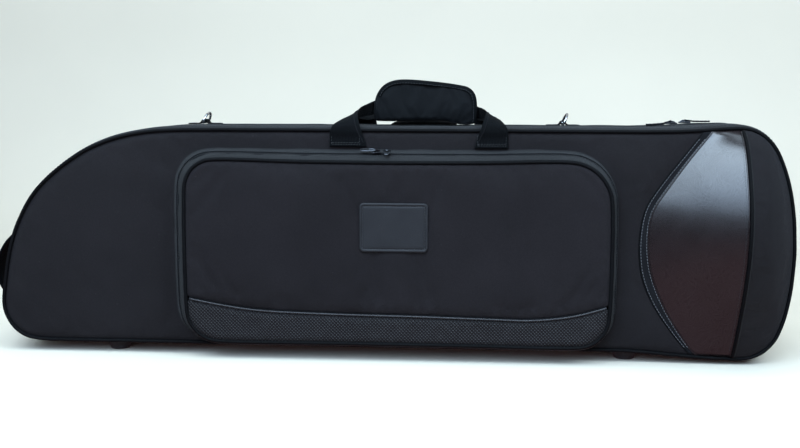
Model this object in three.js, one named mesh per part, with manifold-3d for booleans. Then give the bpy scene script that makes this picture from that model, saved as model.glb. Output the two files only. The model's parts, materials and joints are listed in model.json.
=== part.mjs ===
// Tenor trombone case: two zipped half pans over a rigid shell, with a bell bulge,
// an accessory pocket, carry straps with a wrap grip, and a fitted inside.
// Millimetres. X runs along the length (+X = bell end), Y is the depth (-Y = front),
// Z is up, and the case stands on its feet on its long bottom edge.
import * as THREE from 'three';
import { mergeVertices } from 'three/addons/utils/BufferGeometryUtils.js';
import Module from 'manifold-3d';

const wasm = await Module();
wasm.setup();

// ---------------------------------------------------------------- driving dimensions
const SHIFT = [12.6, 7.073, 0];      // puts the origin at the bottom centre of the bounding box
const FRONT_Y = -75;                // plane of the front piping
const REAR_Y = 112;                 // plane of the rear piping
const PART_Y = 15;                  // plane where the two halves meet
const SEAM_GAP = 0.4;               // half gap between the two halves
const BOTTOM_Z = 14.2;              // straight bottom line of the piping
const PUFF = 4.5;                   // how far the gusset stands out of the piping line
const SKIN = 1.2;                   // fabric with its foam backing
const SHELL = 6;                    // rigid shell wall
const PIPE_R = 2.1;                 // piping radius
const RIM_X = 397;                  // plane of the bell rim seam
const FOOT_R = 14, FOOT_H = 8.4;
const GRIP_T = 26;                  // grip depth
const BELL_AXIS_Y = -10, BELL_AXIS_Z = 139;

// outline of the piping, seen from the front, counter-clockwise [x, z]
const OUTLINE = [
  [-395, 14.2], [-330, 14.2], [-200, 14.2], [0, 14.2], [150, 14.2], [268, 14.2], [292, 13.4], [312, 11.8],
  [335, 10.0], [360, 8.2], [385, 7.2], [406, 7.0], [420, 9.6], [431, 15], [439, 22.4], [445.3, 31], [450, 42],
  [454, 55], [457.2, 70], [459.8, 88], [461.3, 108], [461.8, 130], [461, 150], [459, 172], [455.6, 193],
  [450.6, 213], [444.3, 231], [437, 246], [428.5, 257], [418.5, 264.8], [408, 269.3], [397, 270.8], [380, 270.4],
  [362, 269.2], [340, 267.8], [315, 267.0], [285, 266.8], [150, 266.8], [0, 266.8], [-120, 266.8], [-220, 266.6],
  [-245, 266.2], [-268, 265.2], [-292, 262.4], [-315, 257.6], [-338, 250.2], [-358, 240.9], [-377, 229.2],
  [-393, 217.4], [-407, 205.4], [-419, 192.5], [-429, 178.6], [-437.5, 163.5], [-444.8, 147.5], [-450.5, 131],
  [-455.2, 112], [-458.9, 92], [-461.8, 73], [-463, 60], [-461.8, 48.5], [-458, 38.5], [-452, 29.6],
  [-443.8, 22.3], [-433, 17], [-417, 14.6]];
const N = OUTLINE.length;
// the left edge of the smooth flare panel and the left edge of its binding strip, [z, x]
const SEAM = [[-2, 370], [9, 358.7], [17.3, 349.3], [46.2, 329], [75.1, 313.3], [109.7, 300.8], [144.3, 297.2],
  [166, 298.8], [181, 303.6], [204.9, 318.6], [236.6, 340.7], [268, 364.7], [280, 373.8]];
const STRIP = [[-2, 361], [14.4, 347.2], [37.5, 327.8], [68.8, 306.4], [98.9, 293.4], [130.1, 288.8], [161.1, 290.4],
  [178, 294.2], [189.8, 299.6], [216, 317.2], [231.9, 329.4], [246.6, 340.4], [268, 356.6], [280, 365.6]];
// how far the rim stands out of the front plane, [z, height]
const BULGE = [[5, 0], [9, 0.8], [12, 3.2], [18, 7.2], [27, 12.2], [46, 21], [66, 29.8], [86, 38], [108, 45.2],
  [125, 49.8], [139, 52.2], [152, 53.4], [165, 53.2], [180, 51.6], [198, 47.4], [216, 40.6], [237, 31],
  [253, 21.2], [262, 12], [267, 5], [269.6, 0.6], [275, 0]];

// ---------------------------------------------------------------- helpers
const lerp = (a, b, t) => a + (b - a) * t;
function table(rows, k) {
  if (k <= rows[0][0]) return rows[0][1];
  for (let i = 1; i < rows.length; i++) if (k <= rows[i][0]) {
    const t = (k - rows[i - 1][0]) / (rows[i][0] - rows[i - 1][0]);
    return lerp(rows[i - 1][1], rows[i][1], t);
  }
  return rows[rows.length - 1][1];
}
const NORMAL = OUTLINE.map((p, i) => {
  const a = OUTLINE[(i + N - 1) % N], b = OUTLINE[(i + 1) % N];
  const tx = b[0] - a[0], tz = b[1] - a[1], l = Math.hypot(tx, tz);
  return [tz / l, -tx / l];
});
// one point of the outline, moved outwards by off; next to the parting plane the bottom
// under the bell is lifted, so that the two halves meet on one straight hinge line
function rim(i, off, y) {
  const p = OUTLINE[i], n = NORMAL[i];
  const s = Math.max(0, 1 - Math.abs(y - PART_Y) / 60);
  const lift = p[1] < BOTTOM_Z ? (BOTTOM_Z - p[1]) * s : 0;
  return [p[0] + n[0] * off, y, p[1] + n[1] * off + lift];
}
const all = [...Array(N).keys()];

function geometry(verts, tris) {
  const g = new THREE.BufferGeometry();
  g.setAttribute('position', new THREE.BufferAttribute(new Float32Array(verts.flat()), 3));
  g.setIndex(tris.flat());
  const p = g.attributes.position.array, ix = g.index.array;
  let vol = 0;
  for (let i = 0; i < ix.length; i += 3) {
    const [a, b, c] = [ix[i] * 3, ix[i + 1] * 3, ix[i + 2] * 3];
    vol += p[a] * (p[b + 1] * p[c + 2] - p[b + 2] * p[c + 1]) - p[a + 1] * (p[b] * p[c + 2] - p[b + 2] * p[c])
      + p[a + 2] * (p[b] * p[c + 1] - p[b + 1] * p[c]);
  }
  if (vol < 0) for (let i = 0; i < ix.length; i += 3) { const t = ix[i]; ix[i] = ix[i + 1]; ix[i + 1] = t; }
  return g;
}
// loft through sections with equal point counts; `around` closes the path, otherwise both ends are capped
function loft(sections, around = false) {
  const m = sections[0].length, k = sections.length, verts = sections.flat(), tris = [];
  const last = around ? k : k - 1;
  for (let i = 0; i < last; i++) for (let j = 0; j < m; j++) {
    const a = i * m + j, b = i * m + (j + 1) % m, c = ((i + 1) % k) * m + j, d = ((i + 1) % k) * m + (j + 1) % m;
    tris.push([a, b, d], [a, d, c]);
  }
  if (!around) for (const e of [0, k - 1]) {
    const s = sections[e].map(q => new THREE.Vector3(...q));
    const nrm = new THREE.Vector3();
    for (let j = 0; j < m; j++) nrm.add(new THREE.Vector3().crossVectors(s[j], s[(j + 1) % m]));
    const ax = Math.abs(nrm.x) > Math.abs(nrm.y) ? (Math.abs(nrm.x) > Math.abs(nrm.z) ? 0 : 2) : (Math.abs(nrm.y) > Math.abs(nrm.z) ? 1 : 2);
    const flat = s.map(v => ax === 0 ? new THREE.Vector2(v.y, v.z) : ax === 1 ? new THREE.Vector2(v.x, v.z) : new THREE.Vector2(v.x, v.y));
    const cw = THREE.ShapeUtils.isClockWise(flat);
    const faces = THREE.ShapeUtils.triangulateShape(flat, []);
    for (const f of faces) {
      const t = f.map(q => e * m + q);
      // the side strips run j to j+1 on section 0, so the first cap runs the other way
      const area = (flat[f[1]].x - flat[f[0]].x) * (flat[f[2]].y - flat[f[0]].y) - (flat[f[1]].y - flat[f[0]].y) * (flat[f[2]].x - flat[f[0]].x);
      const same = (area > 0) === !cw;
      const keep = e === 0 ? !same : same;
      tris.push(keep ? t : [t[0], t[2], t[1]]);
    }
  }
  return geometry(verts, tris);
}
function solid(g) {
  const c = g.clone();
  for (const n of ['normal', 'uv']) if (c.attributes[n]) c.deleteAttribute(n);
  const w = mergeVertices(c, 1e-4);
  return new wasm.Manifold(new wasm.Mesh({ numProp: 3, vertProperties: new Float32Array(w.attributes.position.array), triVerts: new Uint32Array(w.index.array) }));
}
function fromSolid(s) {
  const m = s.getMesh(), g = new THREE.BufferGeometry();
  const p = new Float32Array(m.numVert * 3);
  for (let i = 0; i < m.numVert; i++) for (let j = 0; j < 3; j++) p[i * 3 + j] = m.vertProperties[i * m.numProp + j];
  g.setAttribute('position', new THREE.BufferAttribute(p, 3));
  g.setIndex(Array.from(m.triVerts));
  return g;
}
const tower = rows => loft(rows.map(([off, y]) => all.map(i => rim(i, off, y))));
const prism = (off, y0, y1) => loft([y0, y1].map(y => all.map(i => [OUTLINE[i][0] + NORMAL[i][0] * off, y, OUTLINE[i][1] + NORMAL[i][1] * off])));
const band = (section, idx = all) => loft(idx.map(i => section.map(([off, y]) => rim(i, off, y))), idx === all);
function box(x0, x1, y0, y1, z0, z1) {
  const g = new THREE.BoxGeometry(x1 - x0, y1 - y0, z1 - z0);
  g.translate((x0 + x1) / 2, (y0 + y1) / 2, (z0 + z1) / 2);
  return g;
}
// a flat shape given in X and Z, with its thickness along Y
function plate(points, y0, y1) {
  return loft([y0, y1].map(y => points.map(([x, z]) => [x, y, z])));
}
// a shape given in X and Z or Y and Z, extruded along the third axis
function extrudeX(points, x0, x1) { return loft([x0, x1].map(x => points.map(([y, z]) => [x, y, z]))); }
function ribbon(list) {
  return loft(list.map(({ c, w, t }) => {
    const o = [];
    for (const [a, b] of [[-1, -1], [1, -1], [1, 1], [-1, 1]]) o.push([0, 1, 2].map(k => c[k] + a * w[k] + b * t[k]));
    return o;
  }));
}
function tube(points, r, sides, closed = false) {
  const v = points.map(p => new THREE.Vector3(...p));
  const n = v.length, sec = [];
  let up = null;
  for (let i = 0; i < n; i++) {
    const a = v[closed ? (i + n - 1) % n : Math.max(0, i - 1)], b = v[closed ? (i + 1) % n : Math.min(n - 1, i + 1)];
    const t = b.clone().sub(a).normalize();
    if (!up) up = Math.abs(t.y) < 0.9 ? new THREE.Vector3(0, 1, 0) : new THREE.Vector3(1, 0, 0);
    const s = new THREE.Vector3().crossVectors(t, up).normalize();
    const u = new THREE.Vector3().crossVectors(s, t).normalize();
    sec.push([...Array(sides).keys()].map(k => {
      const q = 2 * Math.PI * (k + 0.5) / sides;
      return v[i].clone().addScaledVector(s, r * Math.cos(q)).addScaledVector(u, r * Math.sin(q)).toArray();
    }));
  }
  return loft(sec, closed);
}

const root = new THREE.Group();
root.position.set(...SHIFT);
function add(name, g, colour, roughness = 0.85, metalness = 0) {
  const c = g.clone();
  for (const n of ['normal', 'uv']) if (c.attributes[n]) c.deleteAttribute(n);
  const w = mergeVertices(c, 1e-4);
  w.computeVertexNormals();
  const m = new THREE.Mesh(w, new THREE.MeshStandardMaterial({ color: colour, roughness, metalness }));
  m.name = name;
  root.add(m);
  return m;
}
const NYLON = 0x33393f, PIPING = 0x14161a, VINYL = 0x2a2d33, WEB = 0x15171a, PLUSH = 0x2c2f38, FOAM = 0x24262c,
  SHELLC = 0x1c1d20, STEEL = 0xb9bcc0, RUBBER = 0x17181a, MESHC = 0x2b2f34, TAPE = 0x101214, PAD = 0x3b4046;

// ---------------------------------------------------------------- bell bulge on the front half
const ROWS = [9, 12, 18, 27, 46, 66, 86, 108, 125, 139, 152, 165, 180, 198, 216, 237, 253, 262, 267, 269.6];
// the stretch of the outline round the bell end, from under the rim seam to above it
const ARC_FROM = 11, ARC_TO = 31;
function arcPoint(f, off) {
  const pts = [];
  for (let i = ARC_FROM; i <= ARC_TO; i++) pts.push([OUTLINE[i][0] + NORMAL[i][0] * off, OUTLINE[i][1] + NORMAL[i][1] * off]);
  const len = [0];
  for (let i = 1; i < pts.length; i++) len.push(len[i - 1] + Math.hypot(pts[i][0] - pts[i - 1][0], pts[i][1] - pts[i - 1][1]));
  const s = f * len[len.length - 1];
  for (let i = 1; i < pts.length; i++) if (s <= len[i] + 1e-9) {
    const t = (s - len[i - 1]) / (len[i] - len[i - 1]);
    return [lerp(pts[i - 1][0], pts[i][0], t), lerp(pts[i - 1][1], pts[i][1], t)];
  }
  return pts[pts.length - 1];
}
const FLARE_COLS = [0, 0.34, 0.67, 1], END_COLS = [0.18, 0.4, 0.62, 0.82, 1], END_POWER = 1.9;
// rows of [x, z, height] over the bulge; inset moves the sloping faces inwards
function bulgeRows(seamShift, edgeOff, from, to) {
  return ROWS.map((z, k) => {
    const h = table(BULGE, z), row = [];
    const xs = table(SEAM, z) + seamShift, xr = from === 'flare' ? to : RIM_X;
    const f = k / (ROWS.length - 1);
    const [ox, oz] = arcPoint(f, edgeOff);
    if (from !== 'end') for (const u of FLARE_COLS) row.push([lerp(xs, xr, u), z, h * lerp(0, (xr - xs) / (RIM_X - xs), u)]);
    if (from !== 'flare') {
      const x0 = from === 'end' ? to : RIM_X;
      const cols = from === 'end' ? [0, ...END_COLS] : END_COLS;
      for (const u of cols) row.push([lerp(x0, Math.max(ox, x0 + 0.4 + 0.2 * u), u), lerp(z, oz, u * u * 0.6 + u * 0.4), h * (1 - Math.pow(u, END_POWER))]);
    }
    return row;
  });
}
// closed solid between the sloping surface and a plane or a second surface behind it
function fieldSolid(rows, yFace, yBack, follow) {
  const K = rows.length, J = rows[0].length, verts = [], tris = [];
  for (const side of [0, 1]) for (let k = 0; k < K; k++) for (let j = 0; j < J; j++) {
    const [x, z, h] = rows[k][j];
    verts.push([x, side === 0 ? yFace - h : (follow ? yBack - h : yBack), z]);
  }
  const id = (s, k, j) => s * K * J + k * J + j;
  for (let k = 0; k < K - 1; k++) for (let j = 0; j < J - 1; j++) {
    tris.push([id(0, k, j), id(0, k, j + 1), id(0, k + 1, j + 1)], [id(0, k, j), id(0, k + 1, j + 1), id(0, k + 1, j)]);
    tris.push([id(1, k, j), id(1, k + 1, j + 1), id(1, k, j + 1)], [id(1, k, j), id(1, k + 1, j), id(1, k + 1, j + 1)]);
  }
  const edge = [];
  for (let j = 0; j < J - 1; j++) edge.push([0, j]);
  for (let k = 0; k < K - 1; k++) edge.push([k, J - 1]);
  for (let j = J - 1; j > 0; j--) edge.push([K - 1, j]);
  for (let k = K - 1; k > 0; k--) edge.push([k, 0]);
  for (let e = 0; e < edge.length; e++) {
    const [k0, j0] = edge[e], [k1, j1] = edge[(e + 1) % edge.length];
    tris.push([id(0, k0, j0), id(1, k0, j0), id(1, k1, j1)], [id(0, k0, j0), id(1, k1, j1), id(0, k1, j1)]);
  }
  return geometry(verts, tris);
}
const bulge = (inset, edgeOff) => solid(fieldSolid(bulgeRows(0.3 * inset, edgeOff, 'all'), FRONT_Y - 0.2 + inset, -55, false)).intersect(solid(prism(edgeOff, -140, -50)));

// ---------------------------------------------------------------- front half: shell, covers, lining
const endF = PART_Y - SEAM_GAP, endR = PART_Y + SEAM_GAP;
// front-half depth to rear-half depth; the lift of the bottom starts 60 mm from the parting plane
const mirror = y => y === -45 ? PART_Y + 60 : FRONT_Y + REAR_Y - y;
{
  const outer = solid(tower([[-2, -73.5], [2.8, -64.5], [2.8, -45], [2.8, endF]].reverse())).add(bulge(1.5, -2.8));
  const inner = solid(tower([[-3.2, -67.7], [-3.2, -45], [-3.2, endF], [-3.2, endF + 4]])).add(bulge(7.5, -5.6));
  add('front_shell', fromSolid(outer.subtract(inner)), SHELLC, 0.7);
  const lo = solid(tower([[-3.5, -67.4], [-3.5, -45], [-3.5, endF - 1]])).add(bulge(8.4, -6.8));
  const li = solid(tower([[-6, -64.9], [-6, -45], [-6, endF], [-6, endF + 4]])).add(bulge(10.9, -9.4));
  add('front_lining', fromSolid(lo.subtract(li)), PLUSH, 0.95);
}
const inside = solid(prism(-2.6, -140, -60));
const rightOf = (edge, shift) => solid(plate([...edge.map(([z, x]) => [x + shift, z]), [520, 290], [520, -12]], -100, -50));
add('front_panel', fromSolid(solid(prism(-2.6, -75.2, -74)).subtract(rightOf(STRIP, 0))), NYLON, 0.85);
add('flare_binding', fromSolid(solid(prism(-2.6, -76, -74.3)).intersect(rightOf(STRIP, 0.3)).subtract(rightOf(SEAM, -0.3))), PIPING, 0.7);
add('flare_panel', fromSolid(solid(fieldSolid(bulgeRows(0.3, -2.6, 'flare', RIM_X - 2.5), -75.2, -74, true)).intersect(inside)), VINYL, 0.32);
add('end_panel', fromSolid(solid(fieldSolid(bulgeRows(0.3, -2.2, 'end', RIM_X + 2.5), -75.6, -74, true)).intersect(inside)), NYLON, 0.85);
// the rim piping lies on the ridge between the two slopes
const ridge = z => {
  const d = (table(BULGE, z + 0.5) - table(BULGE, z - 0.5)) / 1, l = Math.hypot(1, d);
  return [RIM_X, -73.7 - table(BULGE, z) - 2.55 / l, z - 2.55 * d / l];
};
add('rim_piping', tube([13.5, 18, 27, 46, 66, 86, 108, 125, 139, 152, 165, 180, 198, 216, 237, 252, 259, 262].map(ridge), 2, 6), PIPING, 0.6);
const pipe = yc => [...Array(6).keys()].map(k => [PIPE_R * Math.cos(Math.PI * (k + 0.5) / 3), yc + PIPE_R * Math.sin(Math.PI * (k + 0.5) / 3)]);
add('front_piping', band(pipe(FRONT_Y)), PIPING, 0.6);
const gussetF = [[0.9, -72.2], [3.4, -69], [PUFF, -62], [PUFF, -45], [PUFF, 9.6], [PUFF - SKIN, 9.6], [PUFF - SKIN, -45], [PUFF - SKIN, -64], [2.6, -68.2], [0.4, -71.4]];
add('front_gusset', band(gussetF), NYLON, 0.85);
// the zip runs over the top and round both ends; along the bottom the tape has no coil
// and is the fabric hinge
const hasCoil = i => i >= 14 && i <= N - 3;
const tapeBand = y => loft(all.map(i => [[3.2, 10], [3.2, endF], [hasCoil(i) ? 5.5 : 4.5, endF], [hasCoil(i) ? 5.5 : 4.5, endF - 1.9], [4.4, endF - 2.3], [4.4, 10]].map(([o, d]) => rim(i, o, y(d)))), true);
add('main_zip_tape_front', tapeBand(d => d), TAPE, 0.75);

// ---------------------------------------------------------------- rear half
{
  const rows = (list) => list.map(([o, y]) => [o, mirror(y)]);
  const outer = solid(tower(rows([[-2, -73.5], [2.8, -64.5], [2.8, -45], [2.8, mirror(endR)]]).reverse()));
  const inner = solid(tower(rows([[-3.2, -67.7], [-3.2, -45], [-3.2, mirror(endR)], [-3.2, mirror(endR) + 4]])));
  add('rear_shell', fromSolid(outer.subtract(inner)), SHELLC, 0.7);
  const lo = solid(tower(rows([[-3.5, -67.4], [-3.5, -45], [-3.5, mirror(endR) - 1]])));
  const li = solid(tower(rows([[-6, -64.9], [-6, -45], [-6, mirror(endR)], [-6, mirror(endR) + 4]])));
  add('rear_lining', fromSolid(lo.subtract(li)), PLUSH, 0.95);
}
add('rear_panel', prism(-2.6, mirror(-74), mirror(-75.2)), NYLON, 0.85);
add('rear_piping', band(pipe(REAR_Y)), PIPING, 0.6);
add('rear_gusset', band(gussetF.map(([o, y]) => [o, y === 9.6 ? 2 * PART_Y - 9.6 : mirror(y)])), NYLON, 0.85);
add('main_zip_tape_rear', tapeBand(d => 2 * PART_Y - d), TAPE, 0.75);

// feet under both halves
for (const [name, x, y] of [['foot_front_bell', 279, -50], ['foot_front_slide', -330, -50], ['foot_rear_bell', 279, 84], ['foot_rear_slide', -330, 84]]) {
  const g = new THREE.CylinderGeometry(FOOT_R, FOOT_R - 2, FOOT_H, 18);
  g.rotateX(Math.PI / 2); g.translate(x, y, FOOT_H / 2);
  add(name, g, RUBBER, 0.8);
}

// ---------------------------------------------------------------- pocket on the front panel
const SEG = 5;
function roundRect(x0, x1, z0, z1, r, sag) {
  const pts = [];
  const corner = (cx, cz, rad, a0) => { for (let k = 0; k <= SEG; k++) { const a = a0 + k * Math.PI / 2 / SEG; pts.push([cx + rad * Math.cos(a), cz + rad * Math.sin(a)]); } };
  corner(x0 + r[0], z0 + r[0], r[0], Math.PI);
  for (const f of [0.33, 0.67]) pts.push([lerp(x0 + r[0], x1 - r[1], f), z0]);
  corner(x1 - r[1], z0 + r[1], r[1], -Math.PI / 2);
  corner(x1 - r[2], z1 - r[2], r[2], 0);
  for (const f of [0.25, 0.5, 0.75]) pts.push([lerp(x1 - r[2], x0 + r[3], f), z1]);
  corner(x0 + r[3], z1 - r[3], r[3], Math.PI / 2);
  const xm = (x0 + x1) / 2, hw = (x1 - x0) / 2;
  return pts.map(([x, z]) => [x, z > (z0 + z1) / 2 ? z - sag * (1 - ((x - xm) / hw) ** 2) * Math.max(0, (z - (z1 - 40)) / 40) : z]);
}
const POCKET_BASE = roundRect(-249, 261, 19.5, 244, [42, 40, 58, 42], 0.5);
const POCKET_FACE = roundRect(-233.5, 254, 21, 234.2, [38, 36, 52, 36], 3.4);
const PN = POCKET_BASE.length;
const pNormal = POCKET_FACE.map((p, i) => {
  const a = POCKET_FACE[(i + PN - 1) % PN], b = POCKET_FACE[(i + 1) % PN];
  const tx = b[0] - a[0], tz = b[1] - a[1], l = Math.hypot(tx, tz);
  return [tz / l, -tx / l];
});
const POCKET_D = 19;
function pocketPoint(i, t, off) {
  const puff = 2.2 * Math.sin(Math.PI * Math.min(1, Math.max(0, t)));
  const nx = pNormal[i][0], nz = pNormal[i][1];
  return [lerp(POCKET_BASE[i][0], POCKET_FACE[i][0], t) + nx * (puff + off), -75.8 - POCKET_D * t, lerp(POCKET_BASE[i][1], POCKET_FACE[i][1], t) + nz * (puff * (nz < -0.5 ? 0.3 : 1) + off)];
}
const pAll = [...Array(PN).keys()];
const pBand = (sec, idx = pAll) => loft(idx.map(i => sec.map(([t, o]) => pocketPoint(i, t, o))), idx === pAll);
add('pocket_gusset_back', pBand([[0, 0], [0.25, 0], [0.485, 0], [0.485, -1.2], [0.25, -1.2], [0, -1.2]]), NYLON, 0.85);
add('pocket_gusset_front', pBand([[0.515, 0], [0.75, 0], [0.9, -0.4], [0.9, -1.6], [0.75, -1.2], [0.515, -1.2]]), NYLON, 0.85);
// zip round the top and both sides of the pocket, from one lower corner to the other
const pZip = []; for (let i = SEG + 3 + SEG; i < PN + 1; i++) pZip.push(i % PN);
add('pocket_zip_tape_back', pBand([[0.27, 0.3], [0.49, 0.3], [0.49, 2.1], [0.41, 2.1], [0.39, 1.2], [0.27, 1.2]], pZip), TAPE, 0.75);
add('pocket_zip_tape_front', pBand([[0.73, 0.3], [0.51, 0.3], [0.51, 2.1], [0.59, 2.1], [0.61, 1.2], [0.73, 1.2]], pZip), TAPE, 0.75);
const FACE_Y = -75.8 - POCKET_D;
const facePts = off => POCKET_FACE.map(([x, z], i) => [x + pNormal[i][0] * off, z + pNormal[i][1] * off]);
const pipeP = [...Array(6).keys()].map(k => [1.9 * Math.cos(Math.PI * (k + 0.5) / 3), FACE_Y - 0.4 + 1.9 * Math.sin(Math.PI * (k + 0.5) / 3)]);
add('pocket_piping', loft(pAll.map(i => pipeP.map(([o, y]) => [POCKET_FACE[i][0] + pNormal[i][0] * o, y, POCKET_FACE[i][1] + pNormal[i][1] * o])), true), PIPING, 0.6);
// lower edge of the pocket panel, where the mesh trim starts, [x, z]
const TRIM = [[-240, 74.2], [-230, 72.5], [-195, 66], [-152, 60.2], [-65, 57], [38, 55.7], [108, 54.3], [170, 53.8], [215, 59.5], [250, 69.3], [262, 72.6]];
{
  const face = plate(facePts(-2.4), FACE_Y - 2.6, FACE_Y + 0.4);
  const below = shift => solid(plate([[-300, -20], [300, -20], ...[...TRIM].reverse().map(([x, z]) => [x, z + shift])], -120, -60));
  add('pocket_panel', fromSolid(solid(face).subtract(below(0))), NYLON, 0.85);
  const cord = tube([[-229.6, 71.0], [-195, 64.5], [-152, 58.7], [-65, 55.5], [38, 54.2], [108, 52.8], [170, 52.3], [215, 58], [249.6, 67.4]].map(([x, z]) => [x, FACE_Y - 1.9, z]), 1.1, 6);
  add('pocket_trim', fromSolid(solid(plate(facePts(-2.4), FACE_Y - 2.1, FACE_Y + 0.2)).intersect(below(-1.2)).add(solid(cord))), MESHC, 0.8);
}
// bare raised patch on the pocket
{
  const pts = [];
  for (const [cx, cz, a0] of [[-26, 133.6, 2], [43.4, 133.6, 3], [43.4, 180.9, 0], [-26, 180.9, 1]]) for (let k = 0; k <= 3; k++) {
    const a = (a0 + k / 3) * Math.PI / 2; pts.push([cx + 4.5 * Math.cos(a), cz + 4.5 * Math.sin(a)]);
  }
  add('pocket_patch', plate(pts, FACE_Y - 5.1, FACE_Y - 2.9), VINYL, 0.4);
}

// ---------------------------------------------------------------- sliders and pulls
// a slider is a plate that rides on the coil; tilt turns it about X to lie on a sloping gusset
function tilted(x0, x1, w, t0, t1, cy, cz, tilt, shiftW = 0) {
  const g = new THREE.BoxGeometry(x1 - x0, 2 * w, t1 - t0);
  g.translate(0, shiftW, (t0 + t1) / 2);
  g.rotateX(tilt);
  g.translate((x0 + x1) / 2, cy, cz);
  return g;
}
// pocket zip: two sliders meet near the middle of the top run
const P_TILT = 0.59, PZ_Y = -85.3, PZ_Z = 241.4;
add('pocket_slider_left', tilted(-17.5, -7, 3.8, 0.9, 3.2, PZ_Y, PZ_Z, P_TILT), STEEL, 0.35, 0.9);
add('pocket_slider_right', tilted(-4.5, 4, 3.8, 0.9, 3.2, PZ_Y, PZ_Z, P_TILT), STEEL, 0.35, 0.9);
add('pocket_pull_left', tilted(-31, -12.5, 2.8, 3.5, 5, PZ_Y, PZ_Z, P_TILT), STEEL, 0.35, 0.9);
add('pocket_pull_right', tilted(-3.4, 3, 5.2, 3.5, 5, PZ_Y, PZ_Z, P_TILT, -4.4), STEEL, 0.35, 0.9);
// main zip: two sliders meet on the top near the bell end, with the pulls lying outwards
const topZ = 266.8;                // top piping line along the straight top
add('main_slider_left', tilted(331.5, 345, 3.6, 0, 2.4, PART_Y, 274.2, 0), STEEL, 0.35, 0.9);
add('main_slider_right', tilted(347, 360.5, 3.6, 0, 2.4, PART_Y, 275.6, 0), STEEL, 0.35, 0.9);
{
  const arch = (x0, x1, z0, z1, up) => [0, 0.25, 0.5, 0.75, 1].map(t => ({ c: [lerp(x0, x1, t), PART_Y, lerp(z0, z1, t) + up * 4 * t * (1 - t)], w: [0, 3.2, 0], t: [0, 0, 0.8] }));
  add('main_pull_left', ribbon(arch(338, 308, 277.8, 275.0, 0.9)), TAPE, 0.6);
  add('main_pull_right', ribbon(arch(354, 384, 279.2, 278.4, 0.7)), TAPE, 0.6);
}

// ---------------------------------------------------------------- D-rings and their tabs
function dTab(name, x, y) {
  const z = topZ + PUFF + 0.3, pts = [];
  pts.push([x - 20, z], [x - 20, z + 1.5], [x - 5.2, z + 1.5]);
  for (let k = 1; k <= 5; k++) { const a = Math.PI - k * Math.PI / 6; pts.push([x + 4 * Math.cos(a), z + 2.3 + 4 * Math.sin(a) * 0.98]); }
  pts.push([x + 5.2, z + 1.5], [x + 20, z + 1.5], [x + 20, z], [x + 2.2, z]);
  for (let k = 1; k <= 5; k++) { const a = k * Math.PI / 6; pts.push([x + 2.3 * Math.cos(a), z + 2.3 + 2.3 * Math.sin(a) - (k === 1 || k === 5 ? 0.6 : 0)]); }
  pts.push([x - 2.2, z]);
  add(name, plate(pts, y - 9, y + 9), WEB, 0.85);
}
function dRing(name, x, y, lean) {
  const loop = [[0, -12, 0], [0, -6, 0], [0, 0, 0], [0, 6, 0], [0, 12, 0], [0, 13.2, 2.2], [0, 12.6, 6], [0, 9.6, 9.6], [0, 5.2, 12], [0, 0, 12.8], [0, -5.2, 12], [0, -9.6, 9.6], [0, -12.6, 6], [0, -13.2, 2.2]];
  const g = tube(loop, 1.5, 8, true);
  g.rotateY(lean); g.translate(x, y, topZ + PUFF + 2.35);
  add(name, g, STEEL, 0.25, 1);
}
dTab('d_ring_tab_left', -243.5, 41); dRing('d_ring_left', -243.5, 41, 0.42);
dTab('d_ring_tab_right', 210, 41); dRing('d_ring_right', 210, 41, 0.42);

// ---------------------------------------------------------------- carry straps and grip
const V = (c, w, t) => ({ c, w, t });
add('front_strap', ribbon([
  V([-48.3, -77.1, 248.5], [18.6, 0, 0], [0, -1.2, 0]), V([-48.3, -77.3, 258], [18.6, 0, 0], [0, -1.2, 0]),
  V([-48.2, -79.3, 266], [18.4, 0, 0], [0, -1.2, 0.1]), V([-47.6, -78.2, 273], [17.5, 0, 0.6], [0, -1.1, 0.9]),
  V([-46.2, -72, 278.6], [14.5, -2, 2.2], [0, -0.7, 1.5]), V([-43.2, -58, 284], [9, -4, 4.5], [0.2, 0.4, 2.2]),
  V([-36.5, -38, 288], [4, -3, 8], [0.9, 2.2, 1.4]), V([-27.5, -17, 291.5], [1.6, -1, 10.5], [1.6, 2.8, 0.3]),
  V([-21, 0.8, 296], [0, 0, 12], [0, 3.3, 0]), V([0, 1.5, 299], [0, 0, 12.4], [0, 3.8, 0]),
  V([85, 1.5, 296.5], [0, 0, 12.4], [0, 3.8, 0]), V([102, 0.8, 292.5], [0, 0, 10.5], [0, 3.2, 0]),
  V([108.6, -17, 289], [-1.6, -1, 8.6], [-1.6, 2.8, 0.3]), V([114.5, -38, 286.4], [-4, -3, 6.8], [-0.9, 2.2, 1.4]),
  V([117.8, -58, 283.4], [-9, -4, 4.2], [-0.2, 0.4, 2.2]), V([118.6, -72, 278.4], [-14.5, -2, 2.2], [0, -0.7, 1.5]),
  V([118.7, -78.2, 273], [-17.5, 0, 0.6], [0, -1.1, 0.9]), V([118.7, -79.3, 266], [-18.4, 0, 0], [0, -1.2, 0.1]),
  V([118.7, -77.3, 258], [-18.6, 0, 0], [0, -1.2, 0]), V([118.7, -77.1, 247.5], [-18.6, 0, 0], [0, -1.2, 0])]), WEB, 0.85);
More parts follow.
